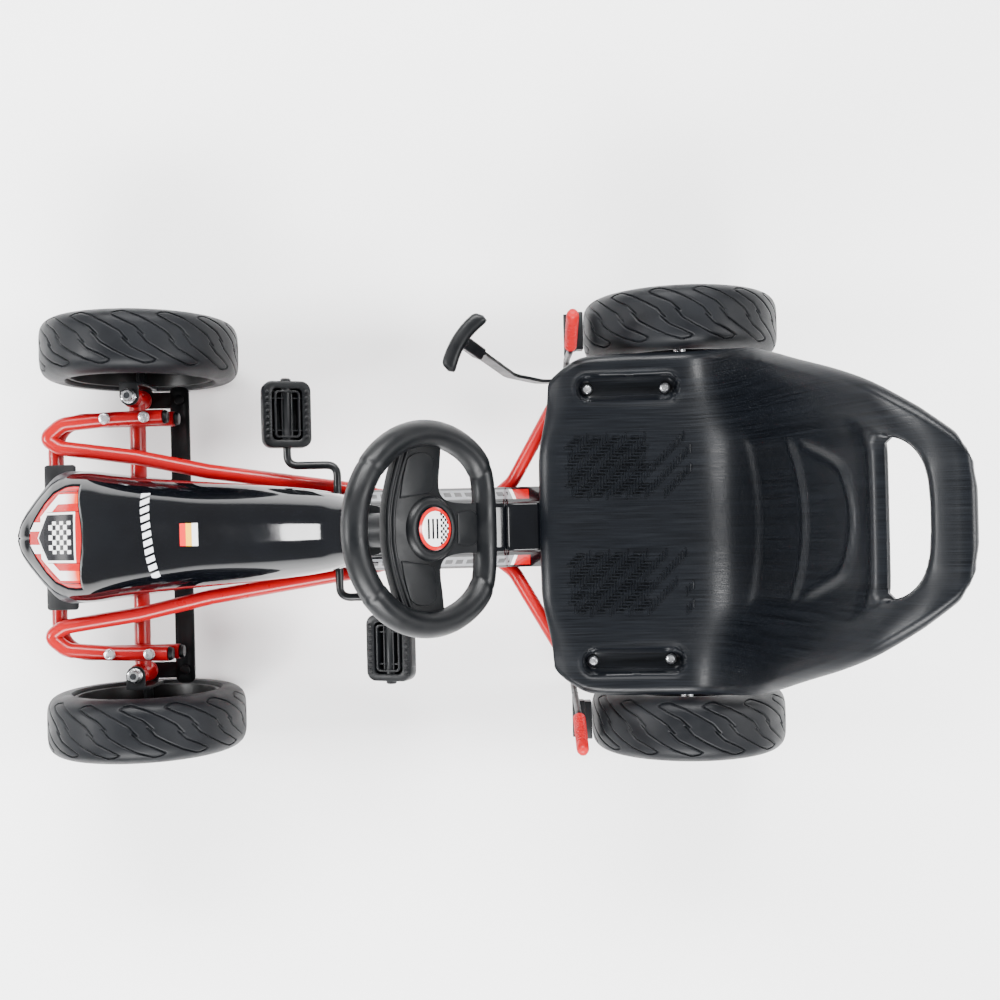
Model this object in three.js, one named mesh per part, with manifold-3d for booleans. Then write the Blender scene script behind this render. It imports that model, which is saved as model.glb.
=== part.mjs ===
// Pedal go kart for a child: tube frame, four plastic wheels, chain drive to the rear axle,
// rack-free steering with a pitman pin, twin-shoe hand brake, shift lever and a bucket seat.
// Millimetres. +X is forward, +Y is the driver's left, +Z is up. The origin is on the floor,
// under the middle of the kart.
import * as THREE from 'three';
import * as BufferGeometryUtils from 'three/addons/utils/BufferGeometryUtils.js';
import Module from 'manifold-3d';

const wasm = await Module();
wasm.setup();

// ---------------------------------------------------------------- driving dimensions
const GAP = 0.3;
const WHEEL_R = 125;
const TYRE_WIDTH = 79;
const FRONT_X = 384;
const REAR_X = -321;
const AXLE_Z = WHEEL_R;
const FRONT_WHEEL_Y = 239.5;
const REAR_WHEEL_Y = 252.5;
const STUB_R = 6;
const REAR_AXLE_R = 8;

const KINGPIN_X = FRONT_X + 6;
const KINGPIN_Y = 179;
const ARM_LENGTH = 50;
const ARM_PLATE_Z = 98.5;
const ARM_PLATE_T = 5;
const TIE_BAR_Z = 103.4;
const TIE_BAR_T = 4;
const TIE_BAR_WIDTH = 25;

const FRAME_TUBE_R = 9.5;
const REAR_TUBE_R = 8.5;
const TUBE_WALL = 1.8;
const UPPER_RAIL_Z = 165.5;
const BUMPER_Z = 146;
const BUMPER_X = 490;
const BUMPER_LEG_Y = 150;
const REAR_RAIL_Y = 165;
const REAR_RAIL_Z = 200;

const BEAM_HALF = 20;
const BEAM_FRONT = 284;
const BEAM_REAR = -300;
const BEAM_Z = 160;

const HUB = new THREE.Vector3(-11, 0, 500);
const COLUMN_TILT = THREE.MathUtils.degToRad(45.15);
const PITMAN_R = 38;
const SHAFT_R = 7;
const SHAFT_END = 509.6;
const TIE_SLOT_X = 336.5;

const CRANK = new THREE.Vector3(121, 0, 195);
const CRANK_THROW = 62;
const CRANK_ARM_Y = 83;
const CRANK_ROD_R = 5;
const PEDAL_Y = 147;
const CHAIN_Y = -26;
const FRONT_PITCH_R = 48.7;
const REAR_PITCH_R = 32.6;

const BRAKE = new THREE.Vector3(-172, 0, 125);
const LEVER = new THREE.Vector3(-230, -180, 185);

// ---------------------------------------------------------------- materials
function finish(color, roughness, metalness) {
  return new THREE.MeshStandardMaterial({ color, roughness, metalness });
}
const RED_PAINT = () => finish(0xd8232c, 0.32, 0.2);
const BLACK_PAINT = () => finish(0x16171b, 0.4, 0.2);
const GLOSS_BLACK = () => finish(0x0c0d10, 0.12, 0.0);
const SEAT_PLASTIC = () => finish(0x1b1d21, 0.45, 0.0);
const BLACK_PLASTIC = () => finish(0x17181b, 0.55, 0.0);
const RED_PLASTIC = () => finish(0xc8202a, 0.5, 0.0);
const ZINC = () => finish(0xc4c6c8, 0.3, 0.9);
const TYRE_FOAM = () => finish(0x202126, 0.75, 0.0);

// ---------------------------------------------------------------- geometry helpers
function v(x, y, z) {
  return new THREE.Vector3(x, y, z);
}

// A closed mesh as a solid. Faces that point inwards are turned round first.
function solid(geometry) {
  const plain = geometry.clone();
  plain.deleteAttribute('normal');
  plain.deleteAttribute('uv');
  const merged = BufferGeometryUtils.mergeVertices(plain, 1e-3);
  const points = merged.attributes.position;
  const index = Array.from(merged.index.array);
  const corners = [v(), v(), v()];
  const kept = [];
  let volume = 0;
  for (let i = 0; i < index.length; i += 3) {
    const [a, b, c] = index.slice(i, i + 3);
    if (a === b || b === c || c === a) continue;
    corners.forEach((corner, k) => corner.fromBufferAttribute(points, index[i + k]));
    volume += corners[0].dot(corners[1].clone().cross(corners[2]));
    kept.push(a, b, c);
  }
  if (volume < 0) kept.reverse();
  return new wasm.Manifold(new wasm.Mesh({
    numProp: 3,
    vertProperties: new Float32Array(points.array),
    triVerts: new Uint32Array(kept),
  }));
}

function surface(body) {
  const mesh = body.getMesh();
  const geometry = new THREE.BufferGeometry();
  geometry.setAttribute('position', new THREE.BufferAttribute(new Float32Array(mesh.vertProperties), 3));
  geometry.setIndex(new THREE.BufferAttribute(new Uint32Array(mesh.triVerts), 1));
  return geometry;
}

function join(...geometries) {
  return surface(geometries.map(solid).reduce((sum, next) => sum.add(next)));
}

function cut(geometry, ...tools) {
  return surface(tools.map(solid).reduce((rest, tool) => rest.subtract(tool), solid(geometry)));
}

// A round bar between two points.
function bar(from, to, radius, sides = 16, endRadius = radius) {
  const along = to.clone().sub(from);
  const geometry = new THREE.CylinderGeometry(endRadius, radius, along.length(), sides);
  const turn = new THREE.Quaternion().setFromUnitVectors(v(0, 1, 0), along.clone().normalize());
  const middle = from.clone().add(to).multiplyScalar(0.5);
  return geometry.applyQuaternion(turn).translate(middle.x, middle.y, middle.z);
}

// A block given by its lowest and highest corners.
function block(x0, x1, y0, y1, z0, z1) {
  const geometry = new THREE.BoxGeometry(x1 - x0, y1 - y0, z1 - z0);
  return geometry.translate((x0 + x1) / 2, (y0 + y1) / 2, (z0 + z1) / 2);
}

// Straight runs joined by round bends, with stations only where the line turns.
class BentLine extends THREE.Curve {
  constructor(corners, bend, perBend = 5) {
    super();
    this.stations = [corners[0]];
    for (let i = 1; i < corners.length - 1; i++) {
      const back = corners[i - 1].clone().sub(corners[i]);
      const on = corners[i + 1].clone().sub(corners[i]);
      const inside = back.angleTo(on);
      const reach = Math.min(bend / Math.tan(inside / 2), back.length() * 0.49, on.length() * 0.49);
      const start = corners[i].clone().add(back.setLength(reach));
      const end = corners[i].clone().add(on.setLength(reach));
      const arc = new THREE.QuadraticBezierCurve3(start, corners[i], end);
      const steps = Math.max(1, Math.round(perBend * (Math.PI - inside) / (Math.PI / 2)));
      this.stations.push(...arc.getPoints(steps));
    }
    this.stations.push(corners[corners.length - 1]);
  }

  get steps() {
    return this.stations.length - 1;
  }

  getUtoTmapping(u) {
    return u;
  }

  getPoint(t, target = new THREE.Vector3()) {
    const place = t * this.steps;
    const i = Math.min(Math.floor(place), this.steps - 1);
    return target.copy(this.stations[i]).lerp(this.stations[i + 1], place - i);
  }

  getTangent(t, target = new THREE.Vector3()) {
    const i = Math.round(t * this.steps);
    const before = this.stations[Math.max(i - 1, 0)];
    const here = this.stations[i];
    const after = this.stations[Math.min(i + 1, this.steps)];
    target.set(0, 0, 0);
    if (i > 0) target.add(here.clone().sub(before).normalize());
    if (i < this.steps) target.add(after.clone().sub(here).normalize());
    return target.normalize();
  }
}

function ring(radius, sides) {
  const points = [];
  for (let i = 0; i < sides; i++) {
    const angle = (i / sides) * 2 * Math.PI;
    points.push(new THREE.Vector2(radius * Math.cos(angle), radius * Math.sin(angle)));
  }
  return points;
}

// A bent bar, or a bent tube when it is given a wall.
function tube(corners, radius, bend, wall = 0, sides = 10) {
  const path = new BentLine(corners, bend);
  const section = new THREE.Shape(ring(radius, sides));
  if (wall > 0) section.holes.push(new THREE.Path(ring(radius - wall, 6)));
  return new THREE.ExtrudeGeometry(section, { steps: path.steps, extrudePath: path });
}

// A plate whose outline lies in the X-Z plane, centred on the given Y.
function sidePlate(shape, y, thickness, curveSegments = 6) {
  const geometry = new THREE.ExtrudeGeometry(shape, { depth: thickness, bevelEnabled: false, curveSegments });
  return geometry.rotateX(Math.PI / 2).translate(0, y + thickness / 2, 0);
}

// A plate whose outline lies in the X-Y plane, from z0 up.
function flatPlate(shape, z0, thickness, curveSegments = 2) {
  const geometry = new THREE.ExtrudeGeometry(shape, { depth: thickness, bevelEnabled: false, curveSegments });
  return geometry.translate(0, 0, z0);
}

function outline(points) {
  return new THREE.Shape(points.map(([x, y]) => new THREE.Vector2(x, y)));
}

function roundedRectangle(halfX, halfY, radius) {
  const shape = new THREE.Shape();
  shape.absarc(halfX - radius, halfY - radius, radius, 0, Math.PI / 2);
  shape.absarc(radius - halfX, halfY - radius, radius, Math.PI / 2, Math.PI);
  shape.absarc(radius - halfX, radius - halfY, radius, Math.PI, Math.PI * 1.5);
  shape.absarc(halfX - radius, radius - halfY, radius, Math.PI * 1.5, Math.PI * 2);
  return shape;
}

// A closed solid through rings of equal length, each a list of points. Each end is capped by
// strips from one half of its ring to the other.
function loft(rings) {
  const count = rings[0].length;
  const positions = rings.flat().flatMap((point) => [point.x, point.y, point.z]);
  const index = [];
  for (let i = 0; i < rings.length - 1; i++) {
    for (let j = 0; j < count; j++) {
      const a = i * count + j;
      const b = i * count + (j + 1) % count;
      index.push(a, b, a + count, b, b + count, a + count);
    }
  }
  const last = (rings.length - 1) * count;
  for (let low = 0, high = count - 1; high - low > 1; low++, high--) {
    index.push(low, high, low + 1);
    index.push(last + low, last + low + 1, last + high);
    if (high - low > 2) {
      index.push(low + 1, high, high - 1);
      index.push(last + low + 1, last + high - 1, last + high);
    }
  }
  const geometry = new THREE.BufferGeometry();
  geometry.setAttribute('position', new THREE.Float32BufferAttribute(positions, 3));
  geometry.setIndex(index);
  return geometry;
}

// A ring turned about the Y axis from a closed profile of [radius, y] points.
function turned(profile, segments) {
  const points = profile.map(([r, y]) => new THREE.Vector2(r, y));
  points.push(points[0].clone());
  return new THREE.LatheGeometry(points, segments);
}

const kart = new THREE.Group();
kart.name = 'pedal_go_kart';

function add(name, geometry, material, parent = kart) {
  const mesh = new THREE.Mesh(surface(solid(geometry)), material);
  mesh.name = name;
  parent.add(mesh);
  return mesh;
}

function onBothSides(build) {
  build('left', 1);
  build('right', -1);
}

// ---------------------------------------------------------------- frame
const BOTTOM_BRACKET_R = 16;
const BOTTOM_BRACKET_HALF = 21.5;

function mainBeam() {
  const beam = block(BEAM_REAR, BEAM_FRONT, -BEAM_HALF, BEAM_HALF, BEAM_Z - BEAM_HALF, BEAM_Z + BEAM_HALF);
  const inner = BEAM_HALF - 2;
  const bore = block(BEAM_REAR - 1, BEAM_FRONT + 1, -inner, inner, BEAM_Z - inner, BEAM_Z + inner);
  const across = (reach, radius) => bar(v(CRANK.x, -reach, CRANK.z), v(CRANK.x, reach, CRANK.z), radius, 18);
  const shell = across(BOTTOM_BRACKET_HALF, BOTTOM_BRACKET_R);
  const spindle = across(40, CRANK_ROD_R + 0.5);
  return cut(join(surface(solid(beam).subtract(solid(bore))), shell), spindle);
}
add('main_beam', mainBeam(), RED_PAINT());

// A folded bracket carries the front axle tube and the steering column on the beam's front end.
function frontBracket() {
  const nose = KINGPIN_X - 11;
  const cheek = outline([[240, 136], [300, 136], [350, 134], [nose, 128], [nose, 139], [nose + 6, 150],
    [nose - 6, 168], [335, 198], [300, 198], [240, 180]]);
  const web = block(240, 296, -24, 24, 136, BEAM_Z - BEAM_HALF - GAP);
  return join(sidePlate(cheek, 22.4, 4), sidePlate(cheek, -22.4, 4), web);
}
add('front_bracket', frontBracket(), RED_PAINT());

const SLEEVE_R = 12;
const SLEEVE_LOW = 101.8;
const SLEEVE_HIGH = 155.7;

function frontAxleBeam() {
  const reach = KINGPIN_Y - 4;
  const cross = bar(v(KINGPIN_X, -reach, AXLE_Z), v(KINGPIN_X, reach, AXLE_Z), 10.5, 14);
  const sleeves = [1, -1].map((side) => bar(
    v(KINGPIN_X, side * KINGPIN_Y, SLEEVE_LOW), v(KINGPIN_X, side * KINGPIN_Y, SLEEVE_HIGH), SLEEVE_R, 18));
  const bores = [1, -1].map((side) => bar(
    v(KINGPIN_X, side * KINGPIN_Y, 90), v(KINGPIN_X, side * KINGPIN_Y, 170), 5.4, 12));
  return cut(join(cross, ...sleeves), ...bores);
}
add('front_axle_beam', frontAxleBeam(), RED_PAINT());

const RAIL_END_X = 345;
const BUMPER_END_X = 336;

// Two vertical bolts on each side clamp the end of an upper rail to the bumper's leg below it.
const CLAMP_BOLTS = [[417, 149.5], [367, 150.5]];

function clampHoles(side) {
  return CLAMP_BOLTS.map(([x, y]) => bar(v(x, side * y, 120), v(x, side * y, 190), 3.9, 6));
}

const bumperHalf = [v(BUMPER_END_X, BUMPER_LEG_Y, BUMPER_Z), v(BUMPER_X, BUMPER_LEG_Y, BUMPER_Z)];
const bumperLine = [...bumperHalf, ...bumperHalf.map((p) => v(p.x, -p.y, p.z)).reverse()];
const bumper = tube(bumperLine, FRAME_TUBE_R, 42, TUBE_WALL);
add('bumper_tube', cut(bumper, ...clampHoles(1), ...clampHoles(-1)), RED_PAINT());

const UPPER_RAIL = [
  [20, 30.5], [110, 53], [289, 80], [380, 100], [490, 112.5], [487, 148.5], [417, 149], [RAIL_END_X, 151],
];

onBothSides((name, side) => {
  const corners = UPPER_RAIL.map(([x, y]) => v(x, side * y, UPPER_RAIL_Z));
  const rail = tube(corners, FRAME_TUBE_R, 17, TUBE_WALL);
  add(`upper_rail_${name}`, cut(rail, ...clampHoles(side)), RED_PAINT());
});

// A push-in end plug: a low dome outside the tube and a spigot inside it.
function endPlug(x, y, z) {
  const cap = bar(v(x - 1, y, z), v(x - 6, y, z), FRAME_TUBE_R - 0.2, 12, FRAME_TUBE_R - 2);
  const spigot = bar(v(x + 10, y, z), v(x - 2, y, z), 5.8, 6);
  return join(cap, spigot);
}

onBothSides((name, side) => {
  add(`rail_plug_${name}`, endPlug(RAIL_END_X, side * 151, UPPER_RAIL_Z), BLACK_PLASTIC());
  add(`bumper_plug_${name}`, endPlug(BUMPER_END_X, side * BUMPER_LEG_Y, BUMPER_Z), BLACK_PLASTIC());
});

// The clamp's lower strap and its two studs, with round heads on top of the rail.
onBothSides((name, side) => {
  const under = BUMPER_Z - FRAME_TUBE_R;
  const over = UPPER_RAIL_Z + FRAME_TUBE_R;
  const bolts = CLAMP_BOLTS.map(([x, y]) => [
    bar(v(x, side * y, under - 1), v(x, side * y, over + 1), 3, 6),
    bar(v(x, side * y, over + GAP), v(x, side * y, over + 3.8), 6.5, 14),
  ]).flat();
  const low = under - 3;
  const y = side * BUMPER_LEG_Y;
  const pads = [[403, 427], [357, 377]].map(([a, b]) => block(a, b, y - 7, y + 7, low, under - GAP));
  const bridge = block(357, 406, y - 2, y + 2, 112, 114);
  const legs = [[403, 406], [357, 360]].map(([a, b]) => block(a, b, y - 2, y + 2, 112, low + 1));
  add(`bumper_clamp_${name}`, join(...pads, bridge, ...legs, ...bolts), ZINC());
});

const NOSE_PLATE_Z = BUMPER_Z + FRAME_TUBE_R + GAP;
const nosePlate = flatPlate(roundedRectangle(20, 93, 4), NOSE_PLATE_Z, 4);
add('nose_plate', nosePlate.translate(481, 0, 0), BLACK_PAINT());

const REAR_RAIL = [
  [-66, 31, 160], [-98, 57, 170], [-160, REAR_RAIL_Y, REAR_RAIL_Z], [-352, REAR_RAIL_Y, REAR_RAIL_Z],
];

onBothSides((name, side) => {
  const corners = REAR_RAIL.map(([x, y, z]) => v(x, side * y, z));
  const y = side * REAR_RAIL_Y;
  const tab = block(BRAKE.x - 12, BRAKE.x + 12, y - 2, y + 2, BRAKE.z - 11, REAR_RAIL_Z - 7.6);
  const hole = bar(v(BRAKE.x, side * 150, BRAKE.z), v(BRAKE.x, side * 180, BRAKE.z), 4.5, 10);
  const rail = tube(corners, REAR_TUBE_R, 40, TUBE_WALL);
  const tabbed = cut(surface(solid(rail).add(solid(tab))), hole);
  add(`rear_rail_${name}`, side > 0 ? tabbed : join(tabbed, leverPivot()), RED_PAINT());
});

// A lug under the right rail carries the shift lever's pivot pin.
function leverPivot() {
  const lug = block(LEVER.x - 9, LEVER.x + 9, -175, -170, LEVER.z - 9, REAR_RAIL_Z - 2);
  const pin = bar(v(LEVER.x, -173, LEVER.z), v(LEVER.x, -186, LEVER.z), 4, 12);
  return join(lug, pin);
}

const CROSS_TUBE_X = -285;
const CROSS_TUBE_Z = BEAM_Z + BEAM_HALF + REAR_TUBE_R + GAP;
const crossReach = REAR_RAIL_Y - REAR_TUBE_R - 1;
const crossEnds = [v(CROSS_TUBE_X, -crossReach, CROSS_TUBE_Z), v(CROSS_TUBE_X, crossReach, CROSS_TUBE_Z)];
add('rear_cross_tube', bar(...crossEnds, REAR_TUBE_R, 12), RED_PAINT());

onBothSides((name, side) => {
  const low = AXLE_Z - 22;
  const plate = outline([[REAR_X - 14, low], [REAR_X + 14, low], [REAR_X + 24, low + 14],
    [REAR_X + 24, REAR_RAIL_Z - 9], [REAR_X - 24, REAR_RAIL_Z - 9], [REAR_X - 24, low + 14]]);
  const hole = bar(v(REAR_X, side * 150, AXLE_Z), v(REAR_X, side * 180, AXLE_Z), 14.3, 20);
  add(`axle_bracket_${name}`, cut(sidePlate(plate, side * REAR_RAIL_Y, 4), hole), RED_PAINT());
  const bush = turned([[8.4, -9], [18, -9], [18, -2.4], [14, -2.4], [14, 10], [8.4, 10]], 20);
  bush.scale(1, side, 1).translate(REAR_X, side * REAR_RAIL_Y, AXLE_Z);
  add(`axle_bush_${name}`, bush, BLACK_PLASTIC());
});

// ---------------------------------------------------------------- steering column and wheel
// A group whose Z axis runs up the steering shaft from the wheel's centre.
const column = new THREE.Group();
column.position.copy(HUB);
column.rotation.y = -COLUMN_TILT;
kart.add(column);

const COLUMN_TUBE_R = 14;
const COLUMN_TOP = 70;
const COLUMN_END = 470;

function columnTube() {
  const outer = bar(v(0, 0, -COLUMN_END), v(0, 0, -COLUMN_TOP), COLUMN_TUBE_R, 16);
  const ears = block(-8, 8, -20.1, 20.1, -464, -440);
  const bore = bar(v(0, 0, -COLUMN_END - 1), v(0, 0, -COLUMN_TOP + 1), COLUMN_TUBE_R - 2.5, 14);
  return cut(join(outer, ears), bore);
}
add('column_tube', columnTube(), BLACK_PAINT(), column);

const bushEnd = -COLUMN_END - 5;
const bushProfile = [[SHAFT_R + GAP, bushEnd], [COLUMN_TUBE_R, bushEnd], [COLUMN_TUBE_R, -COLUMN_END - GAP],
  [10.6, -COLUMN_END - GAP], [10.6, -COLUMN_END + 25], [SHAFT_R + GAP, -COLUMN_END + 25]];
add('column_bush', turned(bushProfile, 14).rotateX(Math.PI / 2).rotateZ(Math.PI), BLACK_PLASTIC(), column);

const collarBore = COLUMN_TUBE_R + 0.4;
const collarProfile = [[SHAFT_R + 0.4, -42], [18, -42], [18, -92], [27, -92], [27, -97],
  [collarBore, -97], [collarBore, -69.6], [SHAFT_R + 0.4, -69.6]];
const collar = turned(collarProfile, 20).rotateX(Math.PI / 2);
add('column_collar', collar, BLACK_PLASTIC(), column);

// The shaft ends in a flat pitman arm whose pin drives the tie bar.
function steeringShaft() {
  const rod = bar(v(0, 0, -SHAFT_END), v(0, 0, -8.4), SHAFT_R, 14);
  const arm = roundedRectangle(PITMAN_R / 2 + 8, 8, 7.9);
  const plate = flatPlate(arm, -SHAFT_END - 3, 6).translate(-PITMAN_R / 2, 0, 0);
  const pin = bar(v(-PITMAN_R, 0, -SHAFT_END - 28), v(-PITMAN_R, 0, -SHAFT_END), 4, 12);
  return join(rod, plate, pin);
}
add('steering_shaft', steeringShaft(), ZINC(), column);

const RIM_R = 95.5;
const RIM_SECTION = 13.5;
const RIM_FLAT = 76.5;

// The rim is a ring with a flat side towards the driver's lap.
function wheelRim() {
  const ringGeometry = new THREE.TorusGeometry(RIM_R, RIM_SECTION, 8, 32);
  const points = ringGeometry.attributes.position;
  for (let i = 0; i < points.count; i++) {
    const x = points.getX(i);
    const y = points.getY(i);
    const facing = Math.max(-x / Math.hypot(x, y), 1e-6);
    const centre = (RIM_R ** -14 + (RIM_FLAT / facing) ** -14) ** (-1 / 14);
    const scale = 1 - (RIM_R - centre) / Math.hypot(x, y);
    points.setXY(i, x * scale, y * scale);
  }
  return ringGeometry;
}

const HUB_R = 33;

function steeringWheel() {
  const sideSpoke = (side) => block(-19, 15, side * 55 - 35, side * 55 + 35, -6, 3);
  const lowSpoke = block(-72, -20, -21, 21, -6, 3);
  const hub = bar(v(0, 0, -14), v(0, 0, 6), HUB_R, 24, HUB_R - 6);
  const boss = bar(v(0, 0, -38), v(0, 0, -10), 17, 16, 20);
  const bore = bar(v(0, 0, -40), v(0, 0, -8), SHAFT_R + GAP, 14);
  return cut(join(wheelRim(), sideSpoke(1), sideSpoke(-1), lowSpoke, hub, boss), bore);
}
add('steering_wheel', steeringWheel(), BLACK_PLASTIC(), column);
add('wheel_badge', bar(v(0, 0, 6 + GAP), v(0, 0, 9), 22, 24, 20), GLOSS_BLACK(), column);

// ---------------------------------------------------------------- front wheels' knuckles
const TIE_X = KINGPIN_X - ARM_LENGTH;

function knuckle(side) {
  const y = (outward) => side * (KINGPIN_Y + outward);
  const span = (a, b) => [Math.min(y(a), y(b)), Math.max(y(a), y(b))];
  const yokeTop = block(KINGPIN_X - 12, KINGPIN_X + 12, ...span(0, 18), 156, 160);
  const eyeTop = bar(v(KINGPIN_X, y(0), 156), v(KINGPIN_X, y(0), 160), 12, 16);
  const web = block(FRONT_X - 12, KINGPIN_X + 12, ...span(14, 18), ARM_PLATE_Z - ARM_PLATE_T / 2, 160);
  const low = [ARM_PLATE_Z - ARM_PLATE_T / 2, ARM_PLATE_Z + ARM_PLATE_T / 2];
  const yokeLow = block(KINGPIN_X - 12, KINGPIN_X + 12, ...span(0, 18), ...low);
  const eyeLow = bar(v(KINGPIN_X, y(0), low[0]), v(KINGPIN_X, y(0), low[1]), 12, 16);
  const arm = block(TIE_X, KINGPIN_X, ...span(-10.5, 10.5), ...low);
  const armEnd = bar(v(TIE_X, y(0), low[0]), v(TIE_X, y(0), low[1]), 10.5, 16);
  const stub = bar(v(FRONT_X, y(16), AXLE_Z), v(FRONT_X, y(104), AXLE_Z), STUB_R, 14);
  const nut = bar(v(FRONT_X, y(95), AXLE_Z), v(FRONT_X, y(102.5), AXLE_Z), 10, 6);
  const pinBore = bar(v(KINGPIN_X, y(0), 80), v(KINGPIN_X, y(0), 175), 5.4, 12);
  const tieBore = bar(v(TIE_X, y(0), 80), v(TIE_X, y(0), 120), 4.4, 12);
  return cut(join(yokeTop, eyeTop, web, yokeLow, eyeLow, arm, armEnd, stub, nut), pinBore, tieBore);
}

onBothSides((name, side) => {
  add(`knuckle_${name}`, knuckle(side), BLACK_PAINT());
  const at = (z) => v(KINGPIN_X, side * KINGPIN_Y, z);
  const head = bar(at(87), at(95.5), 8.5, 6);
  const bolt = join(bar(at(86), at(170), 5, 12), head, bar(at(160.4), at(169), 8.6, 6));
  add(`kingpin_${name}`, bolt, ZINC());
  const tie = (z) => v(TIE_X, side * KINGPIN_Y, z);
  const nutBelow = bar(tie(90), tie(95.6), 7, 6);
  const tieBolt = join(bar(tie(89), tie(107), 4, 10), nutBelow, bar(tie(105.8), tie(109), 6.5, 12));
  add(`tie_pin_${name}`, tieBolt, BLACK_PAINT());
});

// The tie bar has a wide centre lug with a slot for the pitman pin.
function tieBar() {
  const low = TIE_BAR_Z - TIE_BAR_T / 2;
  const strip = flatPlate(roundedRectangle(TIE_BAR_WIDTH / 2, KINGPIN_Y + 17, 8), low, TIE_BAR_T);
  const lug = flatPlate(roundedRectangle(20, 22, 6), low, TIE_BAR_T);
  const slot = flatPlate(roundedRectangle(13, 5.6, 5.5), low - 5, TIE_BAR_T + 10);
  const holes = [1, -1].map((side) => bar(
    v(TIE_X, side * KINGPIN_Y, 90), v(TIE_X, side * KINGPIN_Y, 120), 4.4, 12));
  strip.translate(TIE_X, 0, 0);
  lug.translate(TIE_SLOT_X, 0, 0);
  slot.translate(TIE_SLOT_X, 0, 0);
  return cut(join(strip, lug), slot, ...holes);
}
add('tie_bar', tieBar(), BLACK_PAINT());

// ---------------------------------------------------------------- wheels
const TYRE_SEGMENTS = 32;
const BEAD_R = 93;
const RIM_HALF = TYRE_WIDTH / 2 - 6.5;

// The tread's flats, not its corners, are at the wheel's radius, so a flat rests on the floor.
function tyre() {
  const grow = 1 / Math.cos(Math.PI / TYRE_SEGMENTS);
  const half = TYRE_WIDTH / 2;
  const section = [[BEAD_R, half - 5], [104, half], [119, half - 6], [WHEEL_R, half - 26]];
  const mirrored = section.map(([r, y]) => [r, -y]).reverse();
  const profile = [...section, ...mirrored].map(([r, y]) => [r * grow, y]);
  return turned(profile, TYRE_SEGMENTS).rotateY(Math.PI / TYRE_SEGMENTS);
}

// The rim is a deep dish that opens towards the kart, with its hub boss near the outer face.
function rim(bore) {
  const profile = [[bore, -14], [17, -14], [17, 8], [84, 8], [88, -RIM_HALF], [BEAD_R - 1, -RIM_HALF],
    [BEAD_R - 1, RIM_HALF], [88, RIM_HALF], [82, 20], [17, 28], [bore, 28]];
  return turned(profile, 20);
}

const WHEELS = [
  ['front_left', FRONT_X, FRONT_WHEEL_Y, 1, STUB_R],
  ['front_right', FRONT_X, FRONT_WHEEL_Y, -1, STUB_R],
  ['rear_left', REAR_X, REAR_WHEEL_Y, 1, REAR_AXLE_R],
  ['rear_right', REAR_X, REAR_WHEEL_Y, -1, REAR_AXLE_R],
];
for (const [name, x, y, side, shaft] of WHEELS) {
  const wheel = new THREE.Group();
  wheel.position.set(x, side * y, AXLE_Z);
  kart.add(wheel);
  add(`tyre_${name}`, tyre(), TYRE_FOAM(), wheel);
  add(`rim_${name}`, rim(shaft + 0.4).scale(1, side, 1), BLACK_PLASTIC(), wheel);
}

// ---------------------------------------------------------------- rear axle and drive
function rearAxle() {
  const end = REAR_WHEEL_Y + 42;
  const rod = bar(v(REAR_X, -end, AXLE_Z), v(REAR_X, end, AXLE_Z), REAR_AXLE_R, 16);
  const nuts = [1, -1].map((side) => bar(
    v(REAR_X, side * (end - 11), AXLE_Z), v(REAR_X, side * (end - 3), AXLE_Z), 12, 6));
  return join(rod, ...nuts);
}
add('rear_axle', rearAxle(), ZINC());

// A toothed disc in the X-Z plane.
function sprocket(teeth, tipRadius, depth, bore, thickness) {
  const points = [];
  const pitch = (2 * Math.PI) / teeth;
  const tooth = [[0, 0], [0.28, 1], [0.42, 1], [0.7, 0]];
  for (let i = 0; i < teeth; i++) {
    for (const [along, height] of tooth) {
      const r = tipRadius - depth * (1 - height);
      const angle = (i + along) * pitch;
      points.push([r * Math.cos(angle), r * Math.sin(angle)]);
    }
  }
  const shape = outline(points);
  shape.holes.push(new THREE.Path(ring(bore, 14)));
  return sidePlate(shape, 0, thickness);
}

const TOOTH = 4.2;
const frontSprocket = sprocket(24, FRONT_PITCH_R - TOOTH, TOOTH, CRANK_ROD_R + 0.4, 3);
add('front_sprocket', frontSprocket.translate(CRANK.x, CHAIN_Y, CRANK.z), BLACK_PAINT());

function rearSprocket() {
  const disc = sprocket(16, REAR_PITCH_R - TOOTH, TOOTH, REAR_AXLE_R + 0.4, 3);
  const clutch = turned([[REAR_AXLE_R + 0.4, -1], [16, -1], [16, -34], [REAR_AXLE_R + 0.4, -34]], 18);
  return join(disc, clutch).translate(REAR_X, CHAIN_Y, AXLE_Z);
}
add('rear_sprocket', rearSprocket(), ZINC());

// The chain is one closed band around both sprockets.
function chainLoop(offset, Kind) {
  const away = Math.atan2(AXLE_Z - CRANK.z, REAR_X - CRANK.x);
  const span = Math.hypot(AXLE_Z - CRANK.z, REAR_X - CRANK.x);
  const wrap = Math.acos((FRONT_PITCH_R - REAR_PITCH_R) / span);
  const loop = new Kind();
  loop.absarc(CRANK.x, CRANK.z, FRONT_PITCH_R + offset, away + wrap, away - wrap + 2 * Math.PI);
  loop.absarc(REAR_X, AXLE_Z, REAR_PITCH_R + offset, away - wrap, away + wrap);
  return loop;
}
const chainShape = chainLoop(3.8, THREE.Shape);
chainShape.holes.push(chainLoop(-3.8, THREE.Path));
add('chain', sidePlate(chainShape, CHAIN_Y, 6, 10), ZINC());

const [crankX, crankZ] = [CRANK.x, CRANK.z];
const crankLine = [
  v(crankX + CRANK_THROW, -189, crankZ), v(crankX + CRANK_THROW, -CRANK_ARM_Y, crankZ),
  v(crankX, -CRANK_ARM_Y, crankZ), v(crankX, CRANK_ARM_Y, crankZ),
  v(crankX - CRANK_THROW, CRANK_ARM_Y, crankZ), v(crankX - CRANK_THROW, 189, crankZ),
];
add('crank', tube(crankLine, CRANK_ROD_R, 12, 0, 10), BLACK_PAINT());

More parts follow.
